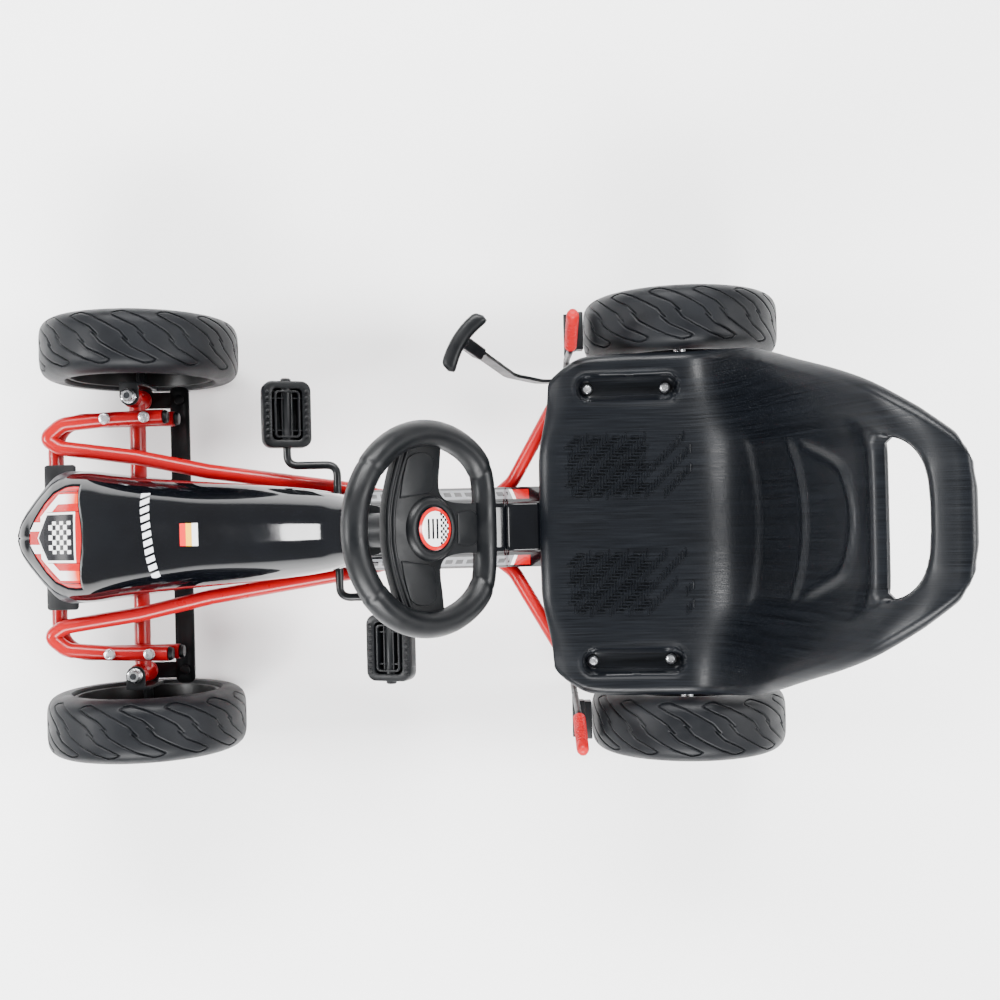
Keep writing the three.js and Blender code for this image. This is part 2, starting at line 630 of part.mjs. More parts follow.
// A pedal: a frame around a centre tube, with two windows right through it.
function pedal() {
  const frame = flatPlate(roundedRectangle(30, 41.5, 12), -11, 22);
  const windows = [1, -1].map((side) => block(side * 14 - 5, side * 14 + 5, -28, 28, -20, 20));
  const bore = bar(v(0, -50, 0), v(0, 50, 0), CRANK_ROD_R + 0.5, 12);
  return cut(frame, ...windows, bore);
}
const PEDAL_TILT = THREE.MathUtils.degToRad(20);
onBothSides((name, side) => {
  const mesh = add(`pedal_${name}`, pedal(), BLACK_PLASTIC());
  mesh.position.set(crankX - side * CRANK_THROW, side * PEDAL_Y, crankZ);
  mesh.rotation.y = side * PEDAL_TILT;
});

// ---------------------------------------------------------------- covers
const SHELL = 2.6;

// Station: x, half width, top z, lower edge z.
const FAIRING = [
  [532.4, 12, 170, 161.5], [526, 30, 178, 161.5], [510, 56, 190, 161.5], [490, 75, 205, 161.5],
  [466, 84, 222, 161.5], [436, 84, 244, 161.5], [395, 78, 268, 163], [290, 66, 320, 190],
  [180, 55, 378, 266], [110, 45, 414, 325], [70, 36, 436, 372], [58, 28, 436, 388],
];

function arch([x, half, top, low], shrink) {
  const points = [];
  const steps = 12;
  const power = 2 / 2.7;
  const foot = shrink > 0 ? low - 30 : low;
  points.push(v(x, half - shrink, foot));
  for (let i = 0; i <= steps; i++) {
    const angle = (i / steps) * Math.PI;
    const across = Math.sign(Math.cos(angle)) * Math.abs(Math.cos(angle)) ** power;
    const up = Math.sin(angle) ** power;
    points.push(v(x, (half - shrink) * across, low + 0.1 + (top - shrink - low) * up));
  }
  points.push(v(x, shrink - half, foot));
  return points;
}

function frontFairing() {
  const outer = loft(FAIRING.map((station) => arch(station, 0)));
  const inside = FAIRING.slice(1, -1).map((station) => arch(station, SHELL));
  const along = (s) => HUB.clone().add(v(Math.sin(COLUMN_TILT), 0, -Math.cos(COLUMN_TILT)).multiplyScalar(s));
  const columnHole = bar(along(60), along(170), COLUMN_TUBE_R + 1, 16);
  const collarFace = bar(along(30), along(97.4), 60, 24);
  return cut(outer, loft(inside), columnHole, collarFace);
}
add('front_fairing', frontFairing(), GLOSS_BLACK());

// Station: x, top z. The cover's side walls lean out from the raised middle to the lower edge.
const COVER = [
  [188, 196], [178, 240], [165, 254], [121, 259], [62, 257], [-86, 225], [-91, 216], [-130, 210], [-205, 203],
];
const COVER_LOW = 182.5;
const COVER_HALF = 50.5;

function coverSection([x, top], shrink) {
  const low = shrink > 0 ? COVER_LOW - 20 : COVER_LOW;
  const half = COVER_HALF - shrink;
  const lip = Math.min(5, (top - COVER_LOW) / 3);
  const side = [[half, low], [half, COVER_LOW + 2], [31, top - lip - shrink], [28, top - shrink]];
  const right = side.map(([y, z]) => v(x, y, z));
  return [...right, ...right.map((p) => v(p.x, -p.y, p.z)).reverse()];
}

function beamCover() {
  const outer = loft(COVER.map((station) => coverSection(station, 0)));
  const ends = COVER.map(([x, top], i) => [i === 0 ? x - SHELL : i === COVER.length - 1 ? x - 5 : x, top]);
  const inner = loft(ends.map((station) => coverSection(station, SHELL)));
  const spindle = bar(v(CRANK.x, -60, CRANK.z), v(CRANK.x, 60, CRANK.z), 10, 16);
  const below = block(CRANK.x - 10, CRANK.x + 10, -60, 60, 170, CRANK.z);
  return cut(outer, inner, spindle, below);
}
add('beam_cover', beamCover(), GLOSS_BLACK());

// ---------------------------------------------------------------- seat
// Row: centre x, centre z, edge x, edge z, half width. The rows run from the front lip up the back.
const SEAT_ROWS = [
  [-133, 214, -146, 214, 168], [-130, 219, -144, 218, 173], [-134, 226, -150, 222, 184],
  [-146, 231, -164, 228, 196], [-170, 230, -186, 232, 206], [-215, 227, -225, 233, 209],
  [-270, 226, -270, 236, 209], [-320, 228, -312, 244, 208], [-352, 240, -336, 262, 206],
  [-374, 268, -350, 292, 202], [-389, 310, -360, 332, 196], [-404, 360, -372, 382, 184],
  [-421, 415, -392, 432, 168], [-440, 470, -418, 482, 151], [-462, 516, -446, 524, 131],
  [-490, 550, -480, 552, 106], [-516, 569, -510, 569, 76], [-530, 574, -526, 573, 44],
];
const SEAT_COLUMNS = 12;
const SEAT_THICKNESS = 7;

function seatPoint(row, j) {
  const [cx, cz, ex, ez, half] = row;
  const across = Math.sin(((j / SEAT_COLUMNS) * 2 - 1) * Math.PI / 2);
  const lift = Math.abs(across) ** 3;
  return v(cx + (ex - cx) * lift, half * across, cz + (ez - cz) * lift);
}

// Each row becomes a thin closed ring: the upper face one way and the lower face back.
function seatShell() {
  const upper = SEAT_ROWS.map((row) => Array.from({ length: SEAT_COLUMNS + 1 }, (_, j) => seatPoint(row, j)));
  const rings = upper.map((row, i) => {
    const before = upper[Math.max(i - 1, 0)];
    const after = upper[Math.min(i + 1, upper.length - 1)];
    const lower = row.map((point, j) => {
      const along = after[j].clone().sub(before[j]);
      const down = v(-along.z, 0, along.x).setLength(SEAT_THICKNESS);
      return point.clone().add(down);
    });
    return [...row, ...lower.reverse()];
  });
  return loft(rings);
}

const SEAT_BOLTS = [-192, -288];
const SEAT_BOLT_Y = 167;
const GROOVE_FLOOR = 216;
const BOSS_LOW = REAR_RAIL_Z + REAR_TUBE_R + 2.8;

// Two bosses under the pan reach down to the rails, and each holds a groove for two bolts.
function seat() {
  const grooves = [1, -1].map((side) => flatPlate(roundedRectangle(62, 15, 13), GROOVE_FLOOR, 60)
    .translate(-240, side * SEAT_BOLT_Y, 0));
  const bosses = [1, -1].map((side) => flatPlate(roundedRectangle(68, 20, 16), BOSS_LOW, 16)
    .translate(-240, side * SEAT_BOLT_Y, 0));
  const holes = [1, -1].flatMap((side) => SEAT_BOLTS.map((x) => bar(
    v(x, side * SEAT_BOLT_Y, 200), v(x, side * SEAT_BOLT_Y, 230), 3.9, 10)));
  const slot = flatPlate(roundedRectangle(24, 79, 20), -60, 120).rotateY(THREE.MathUtils.degToRad(38));
  slot.translate(-474, 0, 531);
  return cut(join(seatShell(), ...bosses), ...grooves, ...holes, slot);
}
add('seat', seat(), SEAT_PLASTIC());

onBothSides((name, side) => {
  const y = side * SEAT_BOLT_Y;
  const low = REAR_RAIL_Z + REAR_TUBE_R + GAP;
  const strip = block(-303, -177, y - 8, y + 8, low, low + 2.2);
  const studs = SEAT_BOLTS.flatMap((x) => [
    bar(v(x, y, low + 1), v(x, y, GROOVE_FLOOR + 1), 3.5, 10),
    bar(v(x, y, GROOVE_FLOOR + GAP), v(x, y, GROOVE_FLOOR + 4.5), 6.5, 14, 5),
  ]);
  add(`seat_clamp_${name}`, join(strip, ...studs), ZINC());
});

// ---------------------------------------------------------------- brake
const SHOE_Z = 160;
const GRIP_SHIFT = 8;

// The two hand levers lean a little to the left of the kart's middle.
function brakeSide(side) {
  return [
    v(BRAKE.x, side * 256 + GRIP_SHIFT, 292),
    v(BRAKE.x, side * 222 + GRIP_SHIFT, 225),
    v(BRAKE.x, side * 214, 150),
    v(BRAKE.x, side * 204, BRAKE.z),
  ];
}
const brakeLine = [...brakeSide(1), ...brakeSide(-1).reverse()];

function brakeBar() {
  const shoes = [1, -1].flatMap((side) => {
    const middle = side * 248;
    return [
      bar(v(BRAKE.x, side * 213, SHOE_Z), v(BRAKE.x, side * 270, SHOE_Z), 4, 10),
      block(-192.5, BRAKE.x - 2, middle - 25, middle + 25, SHOE_Z - 10, SHOE_Z + 10),
    ];
  });
  return join(tube(brakeLine, 4, 14, 0, 8), ...shoes);
}
add('brake_bar', brakeBar(), BLACK_PAINT());

onBothSides((name, side) => {
  const [tip, foot] = brakeSide(side);
  const along = tip.clone().sub(foot).normalize();
  const from = foot.clone().addScaledVector(along, 9);
  const to = tip.clone().addScaledVector(along, 4);
  const skin = bar(from, to, 7.5, 14);
  const hollow = bar(foot, tip.clone().addScaledVector(along, 0.6), 4.4, 12);
  add(`brake_grip_${name}`, cut(skin, hollow), RED_PLASTIC());
});

// ---------------------------------------------------------------- shift lever
const LEVER_TIP = v(-62, -201, 312);
const HANDLE_AT = v(-43, -211, 345);

function shiftLever() {
  const line = new BentLine([LEVER.clone(), v(-134, -180, 204), v(-98, -184, 238), LEVER_TIP], 20);
  const section = outline([[-2, -8], [2, -8], [2, 8], [-2, 8]]);
  const blade = new THREE.ExtrudeGeometry(section, { steps: line.steps, extrudePath: line });
  const eye = bar(v(LEVER.x, LEVER.y - 2, LEVER.z), v(LEVER.x, LEVER.y + 2, LEVER.z), 10, 18);
  const bore = bar(v(LEVER.x, LEVER.y - 9, LEVER.z), v(LEVER.x, LEVER.y + 9, LEVER.z), 4.4, 14);
  return cut(join(blade, eye), bore);
}
add('shift_lever', shiftLever(), BLACK_PAINT());

function shiftHandle() {
  const along = HANDLE_AT.clone().sub(LEVER_TIP).normalize();
  const socket = bar(LEVER_TIP.clone().addScaledVector(along, 0.8), HANDLE_AT, 8.5, 14);
  const across = v(0.555, 0.832, 0);
  const ends = [1, -1].map((end) => HANDLE_AT.clone().addScaledVector(across, end * 35).add(v(-5, 3, 0)));
  const grip = tube([ends[0], HANDLE_AT, ends[1]], 9, 60, 0, 12);
  return join(socket, grip);
}
add('shift_handle', shiftHandle(), BLACK_PLASTIC());

export default kart;
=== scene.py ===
# %% [markdown]
# # Pedal go kart
# A child's kart seen from above: a red tube frame, four moulded wheels, a glossy nose, a steering
# wheel and a blow-moulded seat. The measured CAD model is the frame. Every piece below is put round it,
# in metres, with +X forward, +Y to the driver's left and +Z up.

# %% Load the frame
import math

import bpy
import numpy as np
from mathutils import Matrix, Vector


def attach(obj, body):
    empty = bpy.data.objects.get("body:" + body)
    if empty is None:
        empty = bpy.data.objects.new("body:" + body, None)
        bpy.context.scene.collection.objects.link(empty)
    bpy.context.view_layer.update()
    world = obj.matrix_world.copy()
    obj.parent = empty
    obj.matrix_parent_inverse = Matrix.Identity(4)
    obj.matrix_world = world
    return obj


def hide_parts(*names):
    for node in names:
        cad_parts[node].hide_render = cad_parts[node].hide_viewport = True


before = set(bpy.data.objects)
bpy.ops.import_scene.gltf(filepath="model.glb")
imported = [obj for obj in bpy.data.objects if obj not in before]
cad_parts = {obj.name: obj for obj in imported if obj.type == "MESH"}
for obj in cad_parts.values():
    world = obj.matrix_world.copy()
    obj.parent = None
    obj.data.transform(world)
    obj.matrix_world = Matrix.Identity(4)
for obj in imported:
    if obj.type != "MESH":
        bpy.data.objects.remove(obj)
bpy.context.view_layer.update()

MM = 0.001

# %% [markdown]
# ## Small helpers
# Every piece ends the same way: its place is moved into its mesh, it gets a finish, and it rides on one
# body of the frame. Doing this in one helper keeps each later cell about shape only.

# %% Helpers
def pick(piece):
    if bpy.context.mode != "OBJECT":
        bpy.ops.object.mode_set(mode="OBJECT")
    bpy.ops.object.select_all(action="DESELECT")
    piece.select_set(True)
    bpy.context.view_layer.objects.active = piece
    return piece


def fresh(operator, **settings):
    """A new primitive, on its own in the selection."""
    if bpy.context.mode != "OBJECT":
        bpy.ops.object.mode_set(mode="OBJECT")
    bpy.ops.object.select_all(action="DESELECT")
    operator(**settings)
    return bpy.context.object


def modify(piece, kind, **settings):
    pick(piece)
    modifier = piece.modifiers.new(kind.lower(), kind)
    for key, value in settings.items():
        setattr(modifier, key, value)
    bpy.ops.object.modifier_apply(modifier=modifier.name)
    return piece


def smooth(piece, degrees=35):
    pick(piece)
    bpy.ops.object.shade_smooth_by_angle(angle=math.radians(degrees))
    return piece


def clean(piece, distance=1e-5):
    """Doubles merged, then every face turned outwards."""
    pick(piece)
    bpy.ops.object.mode_set(mode="EDIT")
    bpy.ops.mesh.select_all(action="SELECT")
    bpy.ops.mesh.remove_doubles(threshold=distance)
    bpy.ops.mesh.normals_make_consistent(inside=False)
    bpy.ops.object.mode_set(mode="OBJECT")
    return piece


def place(piece, matrix):
    pick(piece)
    piece.matrix_world = matrix @ piece.matrix_world
    bpy.ops.object.transform_apply(location=True, rotation=True, scale=True)
    return piece


def join(*pieces):
    pick(pieces[0])
    for piece in pieces[1:]:
        piece.select_set(True)
    bpy.ops.object.join()
    return bpy.context.object


def done(piece, name, body, finish, nodes=()):
    """The last step for every piece: name, finish, body and the CAD nodes that it stands for."""
    place(piece, Matrix.Identity(4))
    piece.name = name
    piece.data.name = name
    piece.data.materials.clear()
    piece.data.materials.append(finish)
    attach(piece, body)
    if nodes:
        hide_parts(*nodes)
    return piece


def copy_of(piece, matrix):
    twin = piece.copy()
    twin.data = piece.data.copy()
    bpy.context.scene.collection.objects.link(twin)
    return place(twin, matrix)


def mesh_from(points, faces, name="mesh"):
    data = bpy.data.meshes.new(name)
    data.from_pydata([tuple(p) for p in points], [], faces)
    data.update()
    piece = bpy.data.objects.new(name, data)
    bpy.context.scene.collection.objects.link(piece)
    return piece


def sheet_faces(rows, cols):
    """Four-sided faces between rows of points."""
    return [(i * cols + j, i * cols + j + 1, (i + 1) * cols + j + 1, (i + 1) * cols + j)
            for i in range(rows - 1) for j in range(cols - 1)]


def cut(piece, tool):
    """The tool's shape is taken out of the piece, and the tool is removed."""
    modify(piece, "BOOLEAN", operation="DIFFERENCE", object=tool, solver="EXACT")
    bpy.data.objects.remove(tool)


def shift(x, y, z):
    return Matrix.Translation((x * MM, y * MM, z * MM))


print("helpers ready")


# %% [markdown]
# ## Finishes
# Painted tube, blow-moulded and injection-moulded plastic, zinc plate and foam rubber all differ in how
# their roughness and tiny bumps vary. One recipe takes the colour, the gloss and the size and strength of
# the grain. All patterns read Object coordinates, so they stay with the metal in every pose.

# %% Finish recipe
class Finish:
    """A node material with a Principled shader that starts from one colour."""

    def __init__(self, name, colour, roughness, metallic=0.0, coat=0.0, coat_roughness=0.1, specular=0.5):
        self.material = bpy.data.materials.new(name)
        self.material.use_nodes = True
        self.nodes = self.material.node_tree.nodes
        self.shader = self.nodes["Principled BSDF"]
        for socket, value in (("Base Color", (*colour, 1)), ("Roughness", roughness), ("Metallic", metallic),
                              ("Coat Weight", coat), ("Coat Roughness", coat_roughness),
                              ("Specular IOR Level", specular)):
            self.shader.inputs[socket].default_value = value
        self.colour = colour
        self.place = self.node("TexCoord").outputs["Object"]

    def node(self, kind, **settings):
        made = self.nodes.new("ShaderNode" + kind)
        for key, value in settings.items():
            setattr(made, key, value)
        return made

    def link(self, source, target):
        self.material.node_tree.links.new(source, target)

    def put(self, target, value):
        if hasattr(value, "links"):
            self.link(value, target)
        else:
            target.default_value = value

    def math(self, operation, a, b=0.0, c=None):
        made = self.node("Math", operation=operation)
        self.put(made.inputs[0], a)
        self.put(made.inputs[1], b)
        if c is not None:
            self.put(made.inputs[2], c)
        return made.outputs[0]

    def add(self, a, b):
        return self.math("ADD", a, b)

    def minus(self, a, b):
        return self.math("SUBTRACT", a, b)

    def times(self, a, b):
        return self.math("MULTIPLY", a, b)

    def over(self, value, low):
        return self.math("GREATER_THAN", value, low)

    def under(self, value, high):
        return self.math("LESS_THAN", value, high)

    def inside(self, value, low, high):
        return self.times(self.over(value, low), self.under(value, high))

    def both(self, mask, *others):
        for other in others:
            mask = self.times(mask, other)
        return mask

    def repeat(self, value, size):
        return self.math("MODULO", value, size)

    def squares(self, value, size):
        """0 and 1 in turn, as along one side of a checker board."""
        return self.repeat(self.math("FLOOR", self.math("DIVIDE", value, size)), 2.0)

    def millimetres(self):
        """The place on the piece as three numbers in millimetres."""
        split = self.node("SeparateXYZ")
        self.link(self.place, split.inputs[0])
        return [self.times(split.outputs[axis], 1000.0) for axis in "XYZ"]

    def mapped(self, scale):
        made = self.node("Mapping")
        made.inputs["Scale"].default_value = scale
        self.link(self.place, made.inputs["Vector"])
        return made.outputs["Vector"]

    def noise(self, scale, detail=3.0, stretch=(1, 1, 1)):
        made = self.node("TexNoise")
        made.inputs["Scale"].default_value = scale
        made.inputs["Detail"].default_value = detail
        self.link(self.mapped(stretch), made.inputs["Vector"])
        return made.outputs["Fac"]

    def mix(self, factor, a, b):
        made = self.node("Mix", data_type="RGBA")
        self.put(made.inputs["Factor"], factor)
        for socket, value in ((made.inputs[6], a), (made.inputs[7], b)):
            if hasattr(value, "links"):
                self.link(value, socket)
            else:
                socket.default_value = (*value, 1)
        return made.outputs[2]

    def spread(self, value, low, high, source_low=0.3, source_high=0.7):
        made = self.node("MapRange")
        self.put(made.inputs["Value"], value)
        made.inputs["From Min"].default_value = source_low
        made.inputs["From Max"].default_value = source_high
        made.inputs["To Min"].default_value = low
        made.inputs["To Max"].default_value = high
        return made.outputs["Result"]

    def vary(self, shade, patch_scale=14.0):
        """The colour wanders a little between two shades."""
        dark = tuple(c * (1 - shade) for c in self.colour)
        light = tuple(min(1.0, c * (1 + shade)) for c in self.colour)
        self.tint(self.mix(self.spread(self.noise(patch_scale), 0, 1), dark, light))
        return self

    def tint(self, colour):
        self.link(colour, self.shader.inputs["Base Color"])
        return self

    def rough(self, low, high, scale=40.0, stretch=(1, 1, 1)):
        value = self.spread(self.noise(scale, 4.0, stretch), low, high)
        self.link(value, self.shader.inputs["Roughness"])
        return self

    def bump(self, *layers):
        """Each layer is (height source, strength, depth in metres)."""
        normal = None
        for height, strength, depth in layers:
            made = self.node("Bump")
            made.inputs["Strength"].default_value = strength
            made.inputs["Distance"].default_value = depth
            self.link(height, made.inputs["Height"])
            if normal is not None:
                self.link(normal, made.inputs["Normal"])
            normal = made.outputs["Normal"]
        self.link(normal, self.shader.inputs["Normal"])
        return self


print("finish recipe ready")


# %% Plain finishes
red = Finish("red_powder_coat", (0.30, 0.0003, 0.003), 0.3, coat=0.12, coat_roughness=0.12, specular=0.3)
red.vary(0.03).rough(0.27, 0.33, 60)
red.bump((red.noise(1100), 0.06, 0.0001))

black = Finish("black_powder_coat", (0.0022, 0.0026, 0.0035), 0.38, coat=0.1, specular=0.28)
black.vary(0.2).rough(0.33, 0.46, 70)
black.bump((black.noise(1100), 0.2, 0.0002))

plastic = Finish("black_moulded_plastic", (0.0018, 0.0023, 0.0031), 0.36, specular=0.26)
plastic.vary(0.18).rough(0.34, 0.5, 50)
plastic.bump((plastic.noise(1500, 2.0), 0.18, 0.0002))

dish = Finish("rim_plastic", (0.0018, 0.0022, 0.003), 0.36, specular=0.25)
dish.vary(0.2).rough(0.32, 0.48, 45)
dish.bump((dish.noise(1300, 2.0), 0.2, 0.0002))

grip_red = Finish("red_grip_rubber", (0.38, 0.0008, 0.005), 0.42, specular=0.25)
grip_red.vary(0.08).rough(0.36, 0.5, 90)
grip_red.bump((grip_red.noise(1500), 0.2, 0.0002))

zinc = Finish("bright_zinc", (0.72, 0.73, 0.75), 0.28, metallic=1.0)
zinc.vary(0.14, 120).rough(0.2, 0.38, 220, (1, 1, 5))
zinc.bump((zinc.noise(1800, 2.0), 0.15, 0.0001))

chain_steel = Finish("oiled_chain_steel", (0.21, 0.20, 0.19), 0.34, metallic=1.0)
chain_steel.vary(0.25, 200).rough(0.26, 0.44, 300)
chain_steel.bump((chain_steel.noise(1500), 0.2, 0.0001))

nylon = Finish("dark_bolt_end", (0.03, 0.032, 0.036), 0.35, metallic=0.6)
nylon.vary(0.3, 300).rough(0.3, 0.5, 300)
nylon.bump((nylon.noise(1500), 0.2, 0.0001))
print("plain finishes", len(bpy.data.materials))

# %% [markdown]
# The seat is blow-moulded: the parison leaves long fine flow lines that run from front to back and up the
# back. A noise squeezed to under a millimetre across and left long along X and Z draws them, and drives
# the roughness and the bump together, so that highlights break up into streaks.

# %% Seat and tyre finishes
seat_skin = Finish("blow_moulded_seat", (0.002, 0.0027, 0.004), 0.42, specular=0.22)
streaks = seat_skin.noise(1.0, 6.0, (14, 900, 9))
broad_streaks = seat_skin.noise(1.0, 2.0, (9, 160, 6))
seat_skin.tint(seat_skin.mix(
    seat_skin.spread(streaks, 0, 1, 0.35, 0.65), (0.0008, 0.0012, 0.002), (0.0032, 0.0044, 0.0066)))
fine_rough = seat_skin.spread(streaks, 0.30, 0.46)
rough_sum = seat_skin.add(fine_rough, seat_skin.spread(broad_streaks, -0.015, 0.025))
seat_skin.link(rough_sum, seat_skin.shader.inputs["Roughness"])
seat_skin.bump((streaks, 0.35, 0.00035), (broad_streaks, 0.05, 0.0005),
               (seat_skin.noise(1600, 2.0), 0.08, 0.0001))

rubber = Finish("foam_tyre_rubber", (0.0018, 0.0024, 0.0037), 0.4, specular=0.2)
rubber.vary(0.16, 30).rough(0.40, 0.58, 30)
rubber.bump((rubber.noise(1900, 2.0), 0.28, 0.00022), (rubber.noise(60, 1.0), 0.04, 0.0006))
print("moulded finishes ready")

# %% [markdown]
# ## Camera, floor and light
# The kart is seen from straight above, a little turned. Two long boxes left and right give the tubes their
# highlights, two small ones in front and behind light the ends, and a dim, nearly even sky fills in. There
# is no box overhead, so that the black plastic stays dark.

# %% Camera
CAMERA_HEIGHT = 1.701
CAMERA_X = -0.081
TURN = math.radians(1.35)
camera_data = bpy.data.cameras.new("camera")
camera = bpy.data.objects.new("camera", camera_data)
bpy.context.scene.collection.objects.link(camera)
camera.location = (CAMERA_X, 0.0, CAMERA_HEIGHT)
camera.rotation_euler = (0, 0, math.pi - TURN)
camera_data.sensor_width = 36
camera_data.lens = 43.34
camera_data.shift_y = 0.0273
camera_data.clip_end = 20
bpy.context.scene.camera = camera
print("camera height", CAMERA_HEIGHT)

# %% Floor and lights
floor_finish = Finish("pale_floor", (0.96, 0.96, 0.96), 0.6, specular=0.2)
floor_finish.vary(0.01, 3).rough(0.55, 0.65, 4)
floor_finish.bump((floor_finish.noise(40), 0.02, 0.0005))
floor = fresh(bpy.ops.mesh.primitive_plane_add, size=14)
floor.name = "studio_floor"
floor.data.materials.append(floor_finish.material)


def soft_box(name, location, size, power, target=(0, 0, 0.2)):
    data = bpy.data.lights.new(name, "AREA")
    data.shape = "RECTANGLE"
    data.size, data.size_y = size
    data.energy = power
    lamp = bpy.data.objects.new(name, data)
    bpy.context.scene.collection.objects.link(lamp)
    lamp.location = location
    aim = Vector(target) - Vector(location)
    lamp.rotation_euler = aim.to_track_quat("-Z", "Y").to_euler()
    return lamp


soft_box("left_box", (0.1, 2.7, 2.5), (3.4, 0.9), 430)
soft_box("right_box", (0.1, -2.7, 2.5), (3.4, 0.9), 370)
soft_box("front_box", (3.0, 0.0, 2.2), (0.8, 0.8), 150)
soft_box("rear_box", (-3.2, 0.0, 2.4), (0.7, 2.0), 150)

world = bpy.data.worlds.new("studio")
bpy.context.scene.world = world
world.use_nodes = True
sky = world.node_tree.nodes
background = sky["Background"]
direction = sky.new("ShaderNodeTexCoord")
parts = sky.new("ShaderNodeSeparateXYZ")
ramp = sky.new("ShaderNodeMapRange")
SKY_LOW, SKY_HIGH = 0.55, 0.42
for socket, value in (("From Min", 0.25), ("From Max", 1.0), ("To Min", SKY_LOW), ("To Max", SKY_HIGH)):
    ramp.inputs[socket].default_value = value
world.node_tree.links.new(direction.outputs["Generated"], parts.inputs["Vector"])
world.node_tree.links.new(parts.outputs["Z"], ramp.inputs["Value"])
world.node_tree.links.new(ramp.outputs["Result"], background.inputs["Strength"])
background.inputs["Color"].default_value = (1, 1, 1, 1)
print("stage ready")

# %% [markdown]
# ## Red tube frame
# The rails are bent tubes, welded and bolted together. A curve that follows the tube's middle line, with
# a round bevel, is how a bender sees it; converted to a mesh it gives true round tubes.

# %% Bent tubes
def bent_line(corners, bend, steps=9):
    """Straight runs joined by round bends, in millimetres."""
    corners = [Vector(c) for c in corners]
    line = [corners[0]]
    for before, here, after in zip(corners, corners[1:], corners[2:]):
        back, on = before - here, after - here
        reach = min(bend / math.tan(back.angle(on) / 2), back.length * 0.49, on.length * 0.49)
        start, end = here + back.normalized() * reach, here + on.normalized() * reach
        for i in range(steps + 1):
            t = i / steps
            line.append(start * (1 - t) ** 2 + here * 2 * t * (1 - t) + end * t * t)
    line.append(corners[-1])
    return line


def pipe(corners, radius, bend=20, sides=8, cyclic=False):
    """A round bar that follows a bent line."""
    line = bent_line(corners, bend) if bend else [Vector(c) for c in corners]
    data = bpy.data.curves.new("pipe", "CURVE")
    data.dimensions = "3D"
    spline = data.splines.new("POLY")
    spline.points.add(len(line) - 1)
    for point, place_mm in zip(spline.points, line):
        point.co = (*(place_mm * MM), 1)
    spline.use_cyclic_u = cyclic
    data.bevel_depth = radius * MM
    data.bevel_resolution = sides
    data.use_fill_caps = True
    piece = bpy.data.objects.new("pipe", data)
    bpy.context.scene.collection.objects.link(piece)
    pick(piece)
    bpy.ops.object.convert(target="MESH")
    return smooth(bpy.context.object, 40)


def mirrored(points, side):
    return [(x, side * y, z) for x, y, z in points]


FRAME_R = 9.5
RAIL_Z = 165.5
BUMPER_Z = 146
REAR_RAIL_Y, TUBE_R = 165, 8.5
RAIL = [(20, 30.5), (110, 53), (289, 80), (380, 100), (477, 114), (496, 126), (474, 144), (417, 149),
        (345, 151)]
SIDES = (("left", 1), ("right", -1))
for word, side in SIDES:
    rail = pipe([(x, side * y, RAIL_Z) for x, y in RAIL], FRAME_R, 24)
    done(rail, f"round_rail_{word}", "chassis", red.material, [f"upper_rail_{word}"])
leg = [(336, 150, BUMPER_Z), (490, 150, BUMPER_Z)]
bumper = pipe(leg + mirrored(leg, -1)[::-1], FRAME_R, 42)
done(bumper, "round_bumper", "chassis", red.material, ["bumper_tube"])

KINGPIN_X, KINGPIN_Y, AXLE_Z = 390, 179, 125
front_tube = pipe([(KINGPIN_X, -173, AXLE_Z), (KINGPIN_X, 173, AXLE_Z)], 10.5, 0)
done(front_tube, "front_cross_tube", "chassis", red.material, ["front_axle_beam"])
cross = pipe([(-285, -155, 188.8), (-285, 155, 188.8)], TUBE_R, 0)
done(cross, "seat_cross_tube", "chassis", red.material, ["rear_cross_tube"])
print("bent tubes made")

# %% [markdown]
# Each end of the front tube carries a short upright sleeve with two turned beads. It is a lathe shape: its
# half section is spun round the upright axis.

# %% Turned pieces
def spun(profile, steps=32, axis="Y"):
    """A profile of [radius, height] in millimetres, spun once round an axis through the origin."""
    along = {"X": Vector((1, 0, 0)), "Y": Vector((0, 1, 0)), "Z": Vector((0, 0, 1))}[axis]
    out = Vector((1, 0, 0)) if axis != "X" else Vector((0, 0, 1))
    points = [(out * r + along * h) * MM for r, h in profile]
    data = bpy.data.meshes.new("spun")
    data.from_pydata([tuple(p) for p in points], [(i, i + 1) for i in range(len(points) - 1)], [])
    piece = bpy.data.objects.new("spun", data)
    bpy.context.scene.collection.objects.link(piece)
    pick(piece)
    bpy.ops.object.mode_set(mode="EDIT")
    bpy.ops.mesh.select_all(action="SELECT")
    bpy.ops.mesh.spin(steps=steps, angle=2 * math.pi, center=(0, 0, 0), axis=along, use_auto_merge=True)
    bpy.ops.object.mode_set(mode="OBJECT")
    return smooth(clean(piece, 2e-6), 40)


SLEEVE = [(5.4, -23.2), (12, -23.2), (13, -22), (13, -19.5), (12, -18.6), (12, 18.6), (13.2, 19.6),
          (13.2, 22), (12.2, 23), (12.2, 26), (11.4, 27), (11.4, 30), (10.6, 30.7), (5.4, 30.7), (5.4, -23.2)]
for word, side in SIDES:
    sleeve = place(spun(SLEEVE, 40, "Z"), shift(KINGPIN_X, side * KINGPIN_Y, AXLE_Z))
    done(sleeve, f"kingpin_sleeve_{word}", "chassis", red.material)
print("sleeves made")

# %% [markdown]
# ## Rear rails
# The rear rails leave the beam's sides, spread out below the seat's front edge and run level under the
# seat. The brake tab hangs from each; the right rail also has the shift lever's lug and pin.

# %% Rear rails
REAR_RAIL = [(-66, 31, 160), (-98, 57, 170), (-160, REAR_RAIL_Y, 200), (-352, REAR_RAIL_Y, 200)]


